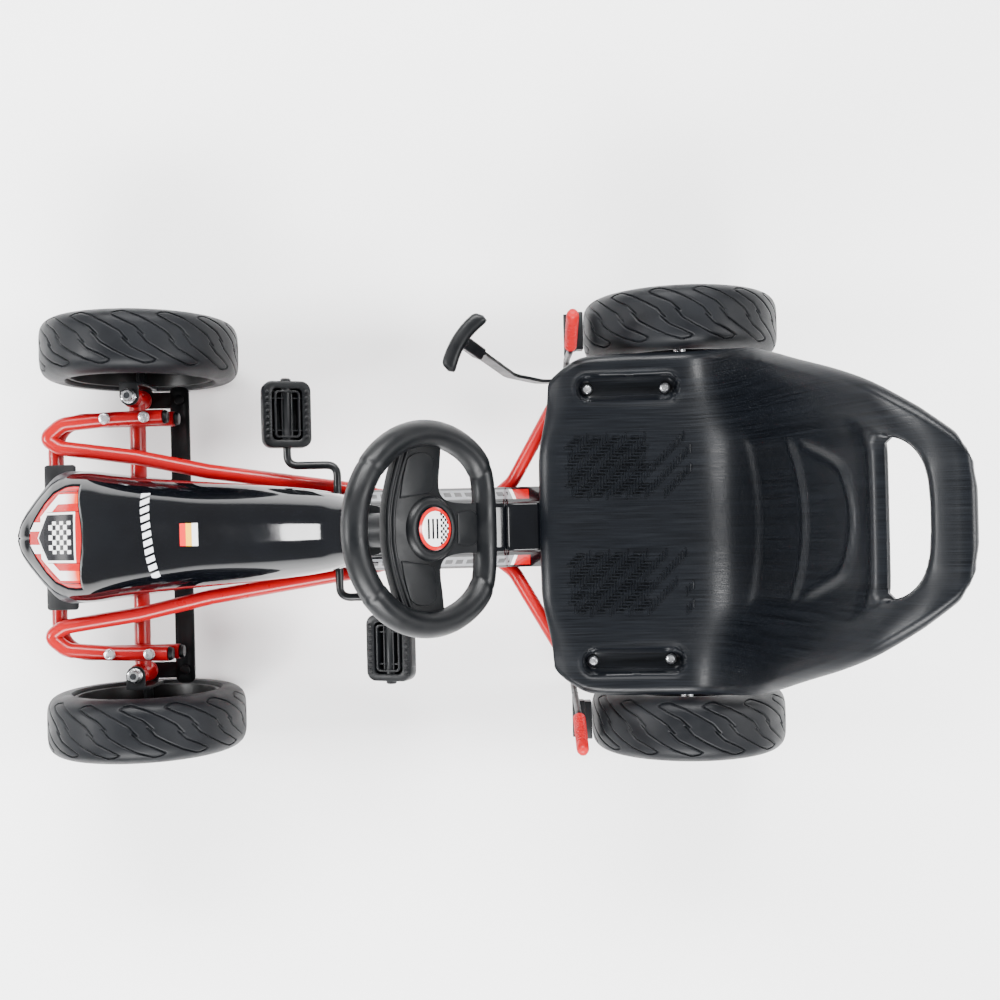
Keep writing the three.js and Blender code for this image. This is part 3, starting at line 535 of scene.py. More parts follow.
def bevelled_box(low, high, width=1.0, segments=2):
    middle = [(a + b) / 2 * MM for a, b in zip(low, high)]
    box = fresh(bpy.ops.mesh.primitive_cube_add, size=1, location=middle)
    box.scale = [(b - a) * MM for a, b in zip(low, high)]
    place(box, Matrix.Identity(4))
    modify(box, "BEVEL", width=width * MM, segments=segments)
    return smooth(box, 35)


for word, side in SIDES:
    parts_made = [pipe(mirrored(REAR_RAIL, side), TUBE_R, 40)]
    tab_y = side * REAR_RAIL_Y
    parts_made.append(bevelled_box((-184, tab_y - 2, 114), (-160, tab_y + 2, 192.4)))
    if side < 0:
        parts_made.append(bevelled_box((-239, -175, 176), (-221, -171, 198)))
        parts_made.append(pipe([(-230, -173, 185), (-230, -186, 185)], 4, 0))
    done(join(*parts_made), f"round_rear_rail_{word}", "chassis", red.material,
         [f"rear_rail_{word}"])
print("rear rails made")

# %% [markdown]
# ## Plates, brackets and castings
# The folded and cut parts have the right shape in the CAD. A copy of each gets its doubles merged and its
# sharp edges rounded, as pressed and painted steel has, so that the edges catch the light.

# %% Rounded copies of CAD parts
def rounded_copy(node, width, body, finish, segments=2, angle=40):
    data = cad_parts[node].data.copy()
    piece = bpy.data.objects.new(node + "_rounded", data)
    bpy.context.scene.collection.objects.link(piece)
    clean(piece, 2e-5)
    modify(piece, "DECIMATE", decimate_type="DISSOLVE", angle_limit=math.radians(1.0))
    modify(piece, "BEVEL", width=width * MM, segments=segments, limit_method="ANGLE",
           angle_limit=math.radians(angle), harden_normals=False)
    smooth(piece, 38)
    return done(piece, node + "_rounded", body, finish, [node])


for node, width in (("main_beam", 1.6), ("front_bracket", 0.8), ("axle_bracket_left", 0.8),
                    ("axle_bracket_right", 0.8)):
    rounded_copy(node, width, "chassis", red.material)
rounded_copy("nose_plate", 1.0, "chassis", black.material)
rounded_copy("column_tube", 0.6, "chassis", black.material)
for node in ("rail_plug_left", "rail_plug_right", "bumper_plug_left", "bumper_plug_right", "column_bush",
             "column_collar", "axle_bush_left", "axle_bush_right"):
    rounded_copy(node, 0.5, "chassis", plastic.material)
for word, _ in SIDES:
    rounded_copy(f"knuckle_{word}", 0.8, f"knuckle_{word}", black.material)
    rounded_copy(f"tie_pin_{word}", 0.5, f"knuckle_{word}", black.material)
    rounded_copy(f"bumper_clamp_{word}", 0.4, "chassis", zinc.material)
    rounded_copy(f"seat_clamp_{word}", 0.4, "chassis", zinc.material)
rounded_copy("tie_bar", 0.7, "tie_bar", black.material)
rounded_copy("steering_shaft", 0.5, "steering", zinc.material)
rounded_copy("rear_axle", 0.5, "rear_axle", zinc.material)
rounded_copy("rear_sprocket", 0.3, "rear_axle", zinc.material)
rounded_copy("front_sprocket", 0.3, "crank", black.material)
rounded_copy("shift_lever", 0.8, "shift_lever", black.material)
print("rounded copies made")

# %% [markdown]
# ## Tyres
# Each tyre is one moulding of foam rubber with round shoulders. Its section is spun round the wheel's axis
# in many steps, and the thin grooves are real: every point near a groove line is pushed in. The two rows
# of hooked grooves are the same line, turned half round.

# %% Tyre section and grooves
WHEEL_R = 125.0
TREAD_STEPS = 640
TREAD_PITCH = 2 * math.pi * WHEEL_R / 14
HOOKS = [
    [(0, 29.7), (4, 32.4), (10.5, 33.6), (15, 33.8), (19.6, 32.4), (34, 27.4), (52, 18), (67.8, 8.4), (73, 2),
     (77.6, -2.7)],
    [(0, 29.7), (14, 22.5), (28.6, 15.6), (34, 10.6), (39.9, 4.9)],
]


def far_row(line):
    """The same groove turned half round, for the other side of the tread."""
    return [(-1.5 - u, -w + 4.4) for u, w in line]


def groove_distance(u, w):
    best = np.full(u.shape, 99.0)
    for line in HOOKS + [far_row(hook) for hook in HOOKS]:
        for (u0, w0), (u1, w1) in zip(line, line[1:]):
            run = np.array([u1 - u0, w1 - w0])
            for lap in (-2, -1, 0, 1, 2):
                du = np.mod(u, TREAD_PITCH) + lap * TREAD_PITCH - u0
                t = np.clip((du * run[0] + (w - w0) * run[1]) / (run @ run), 0, 1)
                best = np.minimum(best, np.hypot(du - t * run[0], w - w0 - t * run[1]))
    return best


def tread_radius(y):
    """The round crown and shoulder of the section."""
    return 93 + 32 * (1 - (np.abs(y) / 40.2) ** 4.6) ** 0.42


def tyre():
    crown = np.sin(np.linspace(-1, 1, 85) * math.pi / 2 * 0.985)
    ys = np.sign(crown) * (np.abs(crown) * 0.35 + 0.65 * np.abs(np.linspace(-1, 1, 85))) * 39.4
    outer = [(tread_radius(y), y) for y in ys]
    lip = [(95.4, 38.9), (93.8, 37.4), (93.0, 35.0), (93.0, 0.0), (93.0, -35.0), (93.8, -37.4), (95.4, -38.9)]
    profile = outer + lip + [outer[0]]
    piece = spun(profile, TREAD_STEPS)
    count = len(piece.data.vertices)
    co = np.empty(count * 3)
    piece.data.vertices.foreach_get("co", co)
    co = co.reshape(-1, 3) / MM
    radius = np.hypot(co[:, 0], co[:, 2])
    around = np.arctan2(co[:, 0], co[:, 2]) * WHEEL_R
    depth = np.clip(1 - groove_distance(-around, -co[:, 1]) / 1.35, 0, 1)
    depth = depth * depth * (3 - 2 * depth) * np.where(radius > 104, 2.5, 0)
    seam = np.clip(1 - np.abs(co[:, 1] + 1.5) / 0.7, 0, 1) * 0.12
    keep = 1 - (depth - seam) / radius
    co[:, 0] *= keep
    co[:, 2] *= keep
    piece.data.vertices.foreach_set("co", (co * MM).ravel())
    piece.data.update()
    return smooth(piece, 50)


WHEELS = [
    ("front_left", 384, 239.5, "front_wheel_left"),
    ("front_right", 384, -239.5, "front_wheel_right"),
    ("rear_left", -321, 252.5, "rear_wheel_left"),
    ("rear_right", -321, -252.5, "rear_axle"),
]
first_tyre = tyre()
for word, x, y, body in WHEELS:
    wheel_tyre = copy_of(first_tyre, shift(x, y, WHEEL_R))
    done(wheel_tyre, f"tread_{word}", body, rubber.material, [f"tyre_{word}"])
bpy.data.objects.remove(first_tyre)
print("tyre faces", len(wheel_tyre.data.polygons))

# %% [markdown]
# ## Rims
# The rim is a deep dish. Its outer face has five broad spokes between pockets, a hub with a cap and a ring
# of small bosses; its inner face is open, with ribs that run out from the hub.

# %% Rims
RIM = [(6.6, -14), (13, -14.6), (16.5, -13), (17, 6), (20, 7.6), (38, 8), (39.5, 6.4), (41, 8), (80, 9),
       (84.5, 6), (87, -30), (87.6, -33.6), (90, -34.6), (92.2, -33.6), (92.2, 33.6), (90, 34.8),
       (87.4, 33.8), (85.6, 30), (82.5, 19), (78, 16), (40, 19), (34, 23.5), (22, 25), (19, 28.5), (15, 30), (11.2, 29.6),
       (11, 27), (6.6, 27), (6.6, -14)]


def rim():
    parts = [spun(RIM, 96)]
    for i in range(10):
        rib = bevelled_box((16, -1.4, -6), (83, 1.4, 9.5), 0.6, 1)
        rib.rotation_euler = (math.radians(90), 0, 0)
        place(rib, Matrix.Identity(4))
        parts.append(place(rib, Matrix.Rotation(2 * math.pi * i / 10, 4, "Y")))
    for i in range(5):
        spoke = bevelled_box((30, -8, -27), (85, 8, -15), 3.5, 3)
        spoke.rotation_euler = (math.radians(90), 0, 0)
        place(spoke, Matrix.Identity(4))
        parts.append(place(spoke, Matrix.Rotation(2 * math.pi * i / 5, 4, "Y")))
        boss = place(spun([(0, 18), (4.5, 18), (4.5, 22), (3.6, 23), (0, 23)], 16), shift(60, 0, 0))
        parts.append(place(boss, Matrix.Rotation(2 * math.pi * (i + 0.5) / 5, 4, "Y")))
    return join(*parts)


WASHER = [(6.6, 0), (13, 0), (13, 1.8), (12.2, 2.2), (6.6, 2.2), (6.6, 0)]
first_rim = rim()
for word, x, y, body in WHEELS:
    turn = Matrix.Identity(4) if y > 0 else Matrix.Rotation(math.pi, 4, "Z")
    done(copy_of(first_rim, shift(x, y, WHEEL_R) @ turn), f"dish_{word}", body, dish.material,
         [f"rim_{word}"])
    washer = place(spun(WASHER, 40), shift(x, y, WHEEL_R) @ turn @ shift(0, -16.6, 0))
    done(washer, f"hub_washer_{word}", body, zinc.material)
bpy.data.objects.remove(first_rim)
print("rims made")

# %% [markdown]
# ## Seat
# The seat is one hollow blow-moulding. It is set out as nineteen ribs from the front lip up the back, and
# a smooth surface is drawn through them. The rolled edge, the two bolt channels, the ridges of the back
# and the rolled lip of the hand slot are then pressed into that surface before it gets its wall.

# %% Seat surface
SEAT_ROWS = np.array([
    [-133, 214, -146, 214, 168], [-130, 219, -144, 218, 173], [-134, 226, -150, 222, 184],
    [-146, 231, -164, 228, 196], [-170, 230, -186, 232, 206], [-215, 227, -225, 233, 209],
    [-270, 226, -270, 236, 209], [-318, 230.5, -311, 245, 208], [-349, 245, -335, 264, 206],
    [-371, 269, -349, 292, 202], [-389, 310, -360, 332, 196], [-404, 360, -372, 382, 184],
    [-421, 415, -392, 432, 168], [-440, 470, -418, 482, 151], [-462, 516, -446, 524, 131],
    [-490, 550, -480, 552, 106], [-513, 566, -509, 567, 82], [-524, 571, -521, 571, 66],
    [-531, 573, -528.5, 572.5, 51],
], float)


def soft_step(low, high, value):
    t = np.clip((value - low) / (high - low), 0, 1)
    return t * t * (3 - 2 * t)


def seat_rows(s):
    """The rows between rows, by a smooth curve through them."""
    last = len(SEAT_ROWS) - 1
    i = np.clip(np.floor(s).astype(int), 0, last - 1)
    t = (s - i)[:, None]
    p0, p1 = SEAT_ROWS[np.maximum(i - 1, 0)], SEAT_ROWS[i]
    p2, p3 = SEAT_ROWS[i + 1], SEAT_ROWS[np.minimum(i + 2, last)]
    return 0.5 * (2 * p1 + (p2 - p0) * t + (2 * p0 - 5 * p1 + 4 * p2 - p3) * t ** 2
                  + (3 * p1 - p0 - 3 * p2 + p3) * t ** 3)


SEAT_N, SEAT_M = 270, 141
EDGE_R = 11.0
SEAT_WALL = 5.0
SEAT_BOLT_Y = 167
SLOT_AT = np.array([-474.0, 531.0])
SLOT_TILT = math.radians(38)
row_steps = np.linspace(0, len(SEAT_ROWS) - 1, SEAT_N)
across = np.sin(np.linspace(-1, 1, SEAT_M) * math.pi / 2)
rows = seat_rows(row_steps)
lift = 0.35 * np.abs(across) ** 3 + 0.65 * soft_step(0.45, 0.9, np.abs(across))
seat_x = rows[:, 0:1] + (rows[:, 2:3] - rows[:, 0:1]) * lift
seat_z = rows[:, 1:2] + (rows[:, 3:4] - rows[:, 1:2]) * lift
seat_y = rows[:, 4:5] * across
grid = np.stack([seat_x, seat_y, seat_z], axis=2)


def grid_normals(points):
    along = np.gradient(points, axis=0)
    side = np.gradient(points, axis=1)
    normal = np.cross(side, along)
    normal /= np.linalg.norm(normal, axis=2, keepdims=True) + 1e-9
    return np.where(normal[:, :, 2:3] < -0.2, -normal, normal)


normals = grid_normals(grid)
if normals[60, 60, 2] < 0:
    normals = -normals
row_length = np.concatenate([[0], np.cumsum(np.linalg.norm(np.diff(rows[:, :2], axis=0), axis=1))])
from_ends = (row_length[-1] - row_length)[:, None] + 0 * seat_y
from_sides = rows[:, 4:5] - np.abs(seat_y)
edge = np.clip(np.minimum(from_ends, from_sides), 0, EDGE_R)
push = -(EDGE_R - np.sqrt(np.maximum(EDGE_R ** 2 - (EDGE_R - edge) ** 2, 0)))
push *= soft_step(1.0, 4.0, row_steps)[:, None]
print("seat surface", grid.shape)

# %% Channels, ridges and hand slot
def rounded_box(dx, dy, half_x, half_y, radius):
    """Distance from a rounded rectangle's outline, negative inside."""
    qx, qy = np.abs(dx) - half_x + radius, np.abs(dy) - half_y + radius
    return np.hypot(np.maximum(qx, 0), np.maximum(qy, 0)) + np.minimum(np.maximum(qx, qy), 0) - radius


back = soft_step(8.6, 9.6, row_steps)[:, None]
pan = 1 - back
for side in (-1, 1):
    channel = rounded_box(seat_x + 240, seat_y - side * SEAT_BOLT_Y, 60, 13, 12)
    inside = 1 - soft_step(-3.5, 2.5, channel)
    push += -inside * np.maximum(seat_z - 216.6, 0) * pan
    push += 1.2 * np.exp(-((channel - 4.5) / 2.8) ** 2) * pan

plan_y = np.abs(seat_y)
crease_z = 292 - 14 * (plan_y / 90) ** 2
panel = (soft_step(-5, 5, seat_z - crease_z) * (1 - soft_step(470, 505, seat_z))
         * (1 - soft_step(88, 110, plan_y)) * back)
push += -4.5 * panel


def rib(line, width, height, low, high):
    """A raised rib along z = line(y), as wide on its slopes as on its level part."""
    slope = (line(plan_y + 1) - line(plan_y - 1)) / 2
    away = (seat_z - line(plan_y)) / np.sqrt(1 + slope ** 2)
    return height * np.exp(-(away / width) ** 2) * (1 - soft_step(low, high, plan_y)) * back


push += rib(lambda y: 383 - 26 * (y / 90) ** 2, 5.0, 4.2, 80, 96)
push += rib(lambda y: 468 - 20 * (y / 60) ** 2 - 45 * soft_step(50, 88, y), 4.6, 4.2, 78, 92)
bolster = seat_z - 503
push += 5.5 * np.exp(-(bolster / 8.0) ** 2) * (1 - soft_step(74, 92, plan_y)) * back
print("channels and ridges pressed")

# %% Hand slot and wall
slot_u = ((seat_x - SLOT_AT[0]) * -math.cos(SLOT_TILT) + (seat_z - SLOT_AT[1]) * math.sin(SLOT_TILT))


def slot_rear(v):
    return -20 + 44 * np.sqrt(np.maximum(1 - np.abs(v / 80) ** 3.2, 0))


slot_gap = np.maximum.reduce([-20 - slot_u, slot_u - slot_rear(seat_y), plan_y - 79])
near_slot = (seat_z > 470) & (slot_gap < 9)
lip = np.clip(slot_gap, 0, 9)
push += np.where(near_slot, -(9 - np.sqrt(np.maximum(81 - (9 - lip) ** 2, 0))), 0)

grid = grid + normals * push[:, :, None]
seat = mesh_from(grid.reshape(-1, 3) * MM, sheet_faces(SEAT_N, SEAT_M), "seat")
pick(seat)
bpy.ops.object.mode_set(mode="EDIT")
bpy.ops.mesh.select_all(action="SELECT")
bpy.ops.mesh.normals_make_consistent(inside=False)
bpy.ops.object.mode_set(mode="OBJECT")
if seat.data.polygons[60 * (SEAT_M - 1) + 60].normal.z < 0:
    seat.data.flip_normals()
modify(seat, "SOLIDIFY", thickness=SEAT_WALL * MM, offset=-1)

# The slot is cut with a block of its own outline.
outline = [(-20, v) for v in np.linspace(-74, 74, 20)] + [
    (slot_rear(np.array(v)).item(), v) for v in np.sin(np.linspace(1, -1, 41) * math.pi / 2) * 79.6]
low_ring, high_ring = [], []
for u, v in outline:
    x = SLOT_AT[0] - u * math.cos(SLOT_TILT)
    z = SLOT_AT[1] + u * math.sin(SLOT_TILT)
    for ring, reach in ((low_ring, -45), (high_ring, 45)):
        ring.append(((x + reach * math.sin(SLOT_TILT)) * MM, v * MM, (z + reach * math.cos(SLOT_TILT)) * MM))
count = len(outline)
cutter = mesh_from(low_ring + high_ring, [tuple(range(count)), tuple(range(2 * count - 1, count - 1, -1))] + [
    (i, count + i, count + (i + 1) % count, (i + 1) % count) for i in range(count)], "slot_cutter")
clean(cutter)
cut(seat, cutter)
smooth(seat, 50)
done(seat, "moulded_seat", "chassis", seat_skin.material, ["seat"])
print("seat faces", len(seat.data.polygons))

# %% [markdown]
# Two patches of raised bars in a herringbone keep a driver from sliding. One bar is modelled and copied
# to each place, resting on the pan.

# %% Grip bars
def pan_height(x, y):
    i = int(np.argmin(np.abs(grid[:, SEAT_M // 2, 0] - x) + np.where(row_steps > 9, 999, 0)
                      + np.where(row_steps < 2.2, 999, 0)))
    j = int(np.argmin(np.abs(grid[i, :, 1] - y)))
    return grid[i, j, 2]


def bar_patch(side):
    """Herringbone bars inside a rounded patch; towards the rear only slanting groups of them are left."""
    corners, sheets = [], []
    cell, run = 3.9, 3
    middle_x, middle_y = -241, side * 71.5
    for i in range(-26, 27):
        for j in range(-14, 15):
            phase = (i - j) % (2 * run)
            if phase not in (0, 2 * run - 1):
                continue
            lengthwise = phase == 0
            x = middle_x + (i + (1 if lengthwise else 0)) * cell
            y = middle_y + (j + (0 if lengthwise else 1)) * cell
            hx, hy = (run * cell / 2 - 0.8, 1.05) if lengthwise else (1.05, run * cell / 2 - 0.8)
            if rounded_box(x - middle_x, y - middle_y, 80, 39.5, 14) > -2.5:
                continue
            if x < -262 and (lengthwise or (x - 1.1 * y) % 34 < 9):
                continue
            base = len(corners)
            for z, trim in ((-1.0, 0), (1.3, 0.2), (2.0, 0.6)):
                for ex, ey in ((-1, -1), (1, -1), (1, 1), (-1, 1)):
                    px, py = x + ex * (hx - trim), y + ey * (hy - trim)
                    corners.append((px * MM, py * MM, (pan_height(px, py) + z) * MM))
            for layer in (0, 4):
                for k in range(4):
                    a, b = base + layer + k, base + layer + (k + 1) % 4
                    sheets.append((a, b, b + 4, a + 4))
            sheets.append(tuple(base + 8 + k for k in range(4)))
            sheets.append(tuple(base + k for k in (3, 2, 1, 0)))
    return mesh_from(corners, sheets, "bars")


for word, side in SIDES:
    bars = smooth(bar_patch(side), 30)
    done(bars, f"grip_bars_{word}", "chassis", seat_skin.material)
    print("grip bars", word, len(bars.data.polygons))

# %% [markdown]
# ## Front fairing
# The nose is one glossy shell with a satin rim round its front and a sunk panel that takes the decal. The
# rim's dark grey is partly its satin finish and partly a painted highlight for the light its bevel catches.
# It is set out by a dozen arched stations; smooth curves through them give the many sections that a mould
# maker would cut.

# %% Fairing shell
FAIRING = np.array([
    [532.4, 12, 170, 161.5], [526, 30, 178, 161.5], [510, 56, 190, 161.5], [490, 75, 205, 161.5],
    [466, 84, 222, 161.5], [436, 84, 244, 161.5], [395, 78, 268, 163], [290, 66, 320, 190],
    [180, 55, 378, 266], [110, 45, 414, 325], [70, 36, 436, 372], [58, 28, 436, 388],
], float)


def smooth_curve(at, xs, ys):
    """A curve through the points that never overshoots them (xs rising)."""
    step = np.diff(xs)
    slope = np.diff(ys) / step
    tangent = np.zeros(len(xs))
    tangent[0], tangent[-1] = slope[0], slope[-1]
    for i in range(1, len(xs) - 1):
        if slope[i - 1] * slope[i] > 0:
            w1, w2 = 2 * step[i] + step[i - 1], step[i] + 2 * step[i - 1]
            tangent[i] = (w1 + w2) / (w1 / slope[i - 1] + w2 / slope[i])
    k = np.clip(np.searchsorted(xs, at) - 1, 0, len(step) - 1)
    t = (at - xs[k]) / step[k]
    return ((1 + 2 * t) * (1 - t) ** 2 * ys[k] + t * (1 - t) ** 2 * step[k] * tangent[k]
            + t * t * (3 - 2 * t) * ys[k + 1] + t * t * (t - 1) * step[k] * tangent[k + 1])


station_order = FAIRING[::-1]
nose_x = np.concatenate([np.linspace(58, 425, 110), np.linspace(427, 526, 120), 526 + 6.4 * np.sin(
    np.linspace(0.05, 1, 14) * math.pi / 2)])
nose_top, nose_low = (smooth_curve(nose_x, station_order[:, 0], station_order[:, k]) for k in (2, 3))
nose_half = smooth_curve(nose_x, np.array([58, 110, 180, 290, 395, 440, 462, 474, 490, 507, 520, 528, 532.4]),
                         np.array([28, 45, 55, 66, 78, 83.6, 84, 81, 67.5, 49, 33, 20, 8.0]))
arch_angle = np.linspace(0, math.pi, 151)
POWER = 2 / 2.9
SHELL_WALL = 2.4


def nose_points(shrink):
    cos, sin = np.cos(arch_angle), np.sin(arch_angle)
    across = np.sign(cos) * np.abs(cos) ** POWER
    up = sin ** POWER
    y = (nose_half - shrink)[:, None] * across[None, :]
    z = nose_low[:, None] + 0.1 + (nose_top - shrink - nose_low)[:, None] * up[None, :]
    return np.stack([nose_x[:, None] + 0 * y, y, z], axis=2)


print("fairing sections", len(nose_x))

# %% [markdown]
# The sunk decal panel and the satin rim are outlines seen from above. Each is a distance in millimetres, so
# the pressed shape here and the print further on can read the same outline.

# %% Sunk panel and satin rim
def panel_distance(x, y):
    """How far outside the decal panel's edge, negative inside it."""
    half = np.interp(x, [424, 432, 440, 452, 470, 484, 500, 508.5, 511],
                     [61.5, 62.5, 63, 62, 55, 43, 24, 10, 0])
    rear = 428.5 - 4.0 * np.cos(np.clip(y / 61, 0, 1) * math.pi) - 1.5
    return np.maximum(y - half, rear - x)


def rim_distance(x, y):
    """How far inside the rim's inner edge, negative on the rim."""
    width = np.interp(x, [440, 460, 480, 500, 520, 532], [0, 11, 13.5, 11, 9, 7])
    return np.interp(x, nose_x, nose_half) - y - width


nose = nose_points(0)
nx, ny = nose[:, :, 0], np.abs(nose[:, :, 1])
panel_gap = panel_distance(nx, ny)
sink = 1 - soft_step(-1.2, 0.4, panel_gap)
groove = np.exp(-((panel_gap - 0.2) / 1.3) ** 2)
band = np.clip((1 - soft_step(-1.5, 0.5, rim_distance(nx, ny))) * soft_step(452, 462, nx + 0.25 * ny), 0, 1)
normal = grid_normals(nose)
flip = np.sign(np.sum(normal * (nose - np.array([0, 0, 150.0])), axis=2))
normal = normal * flip[:, :, None]
nose = nose + normal * (-0.9 * sink - 1.1 * groove - 0.9 * (1 - band) * soft_step(445, 470, nx)
                        * (1 - soft_step(0, 3, nose[:, :, 2] - 300)))[:, :, None]
rows_n, cols_n = nose.shape[:2]
tip_ring = tuple((rows_n - 1) * cols_n + j for j in range(cols_n))
fairing = mesh_from(nose.reshape(-1, 3) * MM, sheet_faces(rows_n, cols_n) + [tip_ring], "fairing")
clean(fairing, 1e-6)
print("fairing surface", len(fairing.data.polygons))

# %% Fairing wall and openings
if sum(p.normal.z * p.area for p in fairing.data.polygons) < 0:
    fairing.data.flip_normals()
modify(fairing, "SOLIDIFY", thickness=SHELL_WALL * MM, offset=-1, use_even_offset=False)
HUB = Vector((-11, 0, 500))
TILT = math.radians(45.15)
COLUMN = shift(*HUB) @ Matrix.Rotation(-TILT, 4, "Y")
hole = fresh(bpy.ops.mesh.primitive_cylinder_add, vertices=48, radius=15 * MM, depth=0.12)
place(hole, COLUMN @ shift(0, 0, -115))
cut(fairing, hole)
collar_space = fresh(bpy.ops.mesh.primitive_cylinder_add, vertices=64, radius=0.06, depth=0.0674)
place(collar_space, COLUMN @ shift(0, 0, -63.7))
cut(fairing, collar_space)
smooth(fairing, 42)
print("fairing faces", len(fairing.data.polygons))

# %% [markdown]
# The decal is printed film: red, white and black bands that follow the shape of the panel, fading to
# orange at the rear. The node recipe measures the distance from the middle line and from the tip, and
# lays one band over the other. A row of slanted bars stands across the shell behind it.

# %% Fairing finish
shell = Finish("gloss_shell_with_decal", (0.004, 0.0045, 0.006), 0.08,
               coat=0.3, coat_roughness=0.03, specular=0.22)
px, signed_y, pz = shell.millimetres()
py = shell.math("ABSOLUTE", signed_y)
WHITE, RED = (0.80, 0.80, 0.80), (0.36, 0.0006, 0.003)
ORANGE, INK = (0.66, 0.04, 0.006), (0.004, 0.004, 0.006)
field = shell.add(py, shell.times(shell.math("MAXIMUM", shell.minus(px, 480.0), 0.0), 1.9))
wide = shell.add(py, shell.times(shell.math("MAXIMUM", shell.minus(px, 462.0), 0.0), 0.93))
paint = shell.mix(shell.spread(shell.noise(60), 0, 1), RED, (0.41, 0.001, 0.0035))
white_fade = shell.mix(shell.spread(px, 0, 1, 434, 452), ORANGE, WHITE)
paint = shell.mix(shell.inside(wide, 41.0, 53.0), paint, white_fade)
# In front the white bands run straight to the edge, with red between them.
paint = shell.mix(shell.both(shell.over(px, 491.0), shell.under(py, 26.0)), paint, RED)
paint = shell.mix(shell.both(shell.inside(py, 8.5, 19.5), shell.over(px, 489.0)), paint, WHITE)
# The middle field is black with a white edge and a checker.
paint = shell.mix(shell.both(shell.under(field, 31.0), shell.over(px, 433.0)), paint, WHITE)
paint = shell.mix(shell.both(shell.under(field, 28.2), shell.over(px, 435.6)), paint, INK)
SQUARE = 6.2
square_x, square_y = shell.squares(px, SQUARE), shell.squares(shell.add(signed_y, 102.3), SQUARE)
checks = shell.math("COMPARE", square_x, square_y, 0.1)
checker_zone = shell.both(checks, shell.under(field, 20.0), shell.inside(px, 440.2, 477.4))
paint = shell.mix(checker_zone, paint, WHITE)
for line_at, low, high in ((wide, 55.8, 56.8), (field, 31.0, 31.7)):
    line = shell.both(shell.inside(line_at, low, high), shell.under(px, 480.0))
    paint = shell.mix(line, paint, INK)
gap = shell.inside(shell.minus(px, shell.times(py, 0.3)), 476.0, 477.2)
paint = shell.mix(shell.both(gap, shell.over(py, 32.0)), paint, INK)
print("decal bands mixed")

# %% [markdown]
# Each point of the shell also carries two numbers of its own: how surely it lies on the decal, and how
# surely on the satin rim. They follow the same outlines as the pressed shape, so print and edge meet.

# %% Where the decal and the rim lie
co = np.empty(len(fairing.data.vertices) * 3)
fairing.data.vertices.foreach_get("co", co)
co = co.reshape(-1, 3) / MM
vx, vy, vz = co[:, 0], np.abs(co[:, 1]), co[:, 2]
BLUR = 4
on_top = vz > np.interp(vx, nose_x, nose_low) + 12
decal_value = np.where(on_top, np.clip(0.5 - panel_distance(vx, vy) / BLUR, 0, 1), 0)
# This mask carries both the rim's satin finish and its painted highlight.
satin_rim_and_highlight_value = np.clip(0.5 - rim_distance(vx, vy) / BLUR, 0, 1) * soft_step(452, 462, vx + 0.25 * vy)
for name, value in (("decal", decal_value), ("satin_rim_and_painted_highlight", satin_rim_and_highlight_value)):
    layer = fairing.data.attributes.new(name, "FLOAT", "POINT")
    layer.data.foreach_set("value", value)
print("points on the decal", int((decal_value > 0.5).sum()), "and on the rim", int((satin_rim_and_highlight_value > 0.5).sum()))

# %% Shell colour, bars and gloss
SHELL_BLACK = (0.0012, 0.0014, 0.0022), (0.0025, 0.003, 0.0042)
on_decal = shell.spread(shell.node("Attribute", attribute_name="decal").outputs["Fac"], 0, 1, 0.62, 0.72)
on_satin_rim_and_painted_highlight = shell.spread(shell.node("Attribute", attribute_name="satin_rim_and_painted_highlight").outputs["Fac"], 0, 1, 0.45, 0.6)
shade = shell.mix(shell.spread(shell.noise(14), 0, 1), *SHELL_BLACK)
# The rim band's dark grey is partly satin finish and partly painted highlight, standing in for the light its
# bevel catches.
shade = shell.mix(on_satin_rim_and_painted_highlight, shade, (0.011, 0.0125, 0.016))
bar_x = shell.add(px, shell.times(signed_y, 0.12))
bar_step = shell.repeat(shell.add(shell.minus(signed_y, shell.times(px, 0.35)), 500.0), 10.0)
upper = shell.over(pz, 250.0)
bars_on = shell.both(shell.inside(bar_x, 324.0, 336.0), shell.under(py, 50.0), shell.under(bar_step, 6.6),
                     upper)
shade = shell.mix(bars_on, shade, (0.78, 0.80, 0.83))
stripe_block = shell.both(shell.inside(px, 262.0, 286.0), shell.under(py, 13.0), upper)
tricolour = shell.mix(shell.over(px, 270.0), WHITE, (0.86, 0.46, 0.02))
tricolour = shell.mix(shell.over(px, 278.0), tricolour, (0.70, 0.02, 0.02))
shade = shell.mix(stripe_block, shade, tricolour)
shell.tint(shell.mix(on_decal, shade, paint))
satin = shell.mix(on_satin_rim_and_painted_highlight, (0.07, 0.07, 0.07), (0.42, 0.42, 0.42))
satin = shell.mix(on_decal, satin, (0.22, 0.22, 0.22))
satin_value = shell.node("RGBToBW")
shell.link(satin, satin_value.inputs[0])
grain = shell.spread(shell.noise(30), -0.02, 0.03)
shell.link(shell.add(satin_value.outputs[0], grain), shell.shader.inputs["Roughness"])
bare = shell.minus(1.0, shell.math("MAXIMUM", on_satin_rim_and_painted_highlight, shell.times(on_decal, 0.4)))
shell.link(shell.times(0.3, bare), shell.shader.inputs["Coat Weight"])
shell.bump((shell.noise(22, 1.0), 0.10, 0.002), (shell.noise(1300), 0.03, 0.0001))
done(fairing, "nose_shell", "chassis", shell.material, ["front_fairing"])
print("fairing finished")

# %% [markdown]
# ## Beam cover
# The cover is a thinner shell over the beam: a raised glossy middle and sloping sides with a printed strip
# of slanted dashes along each.

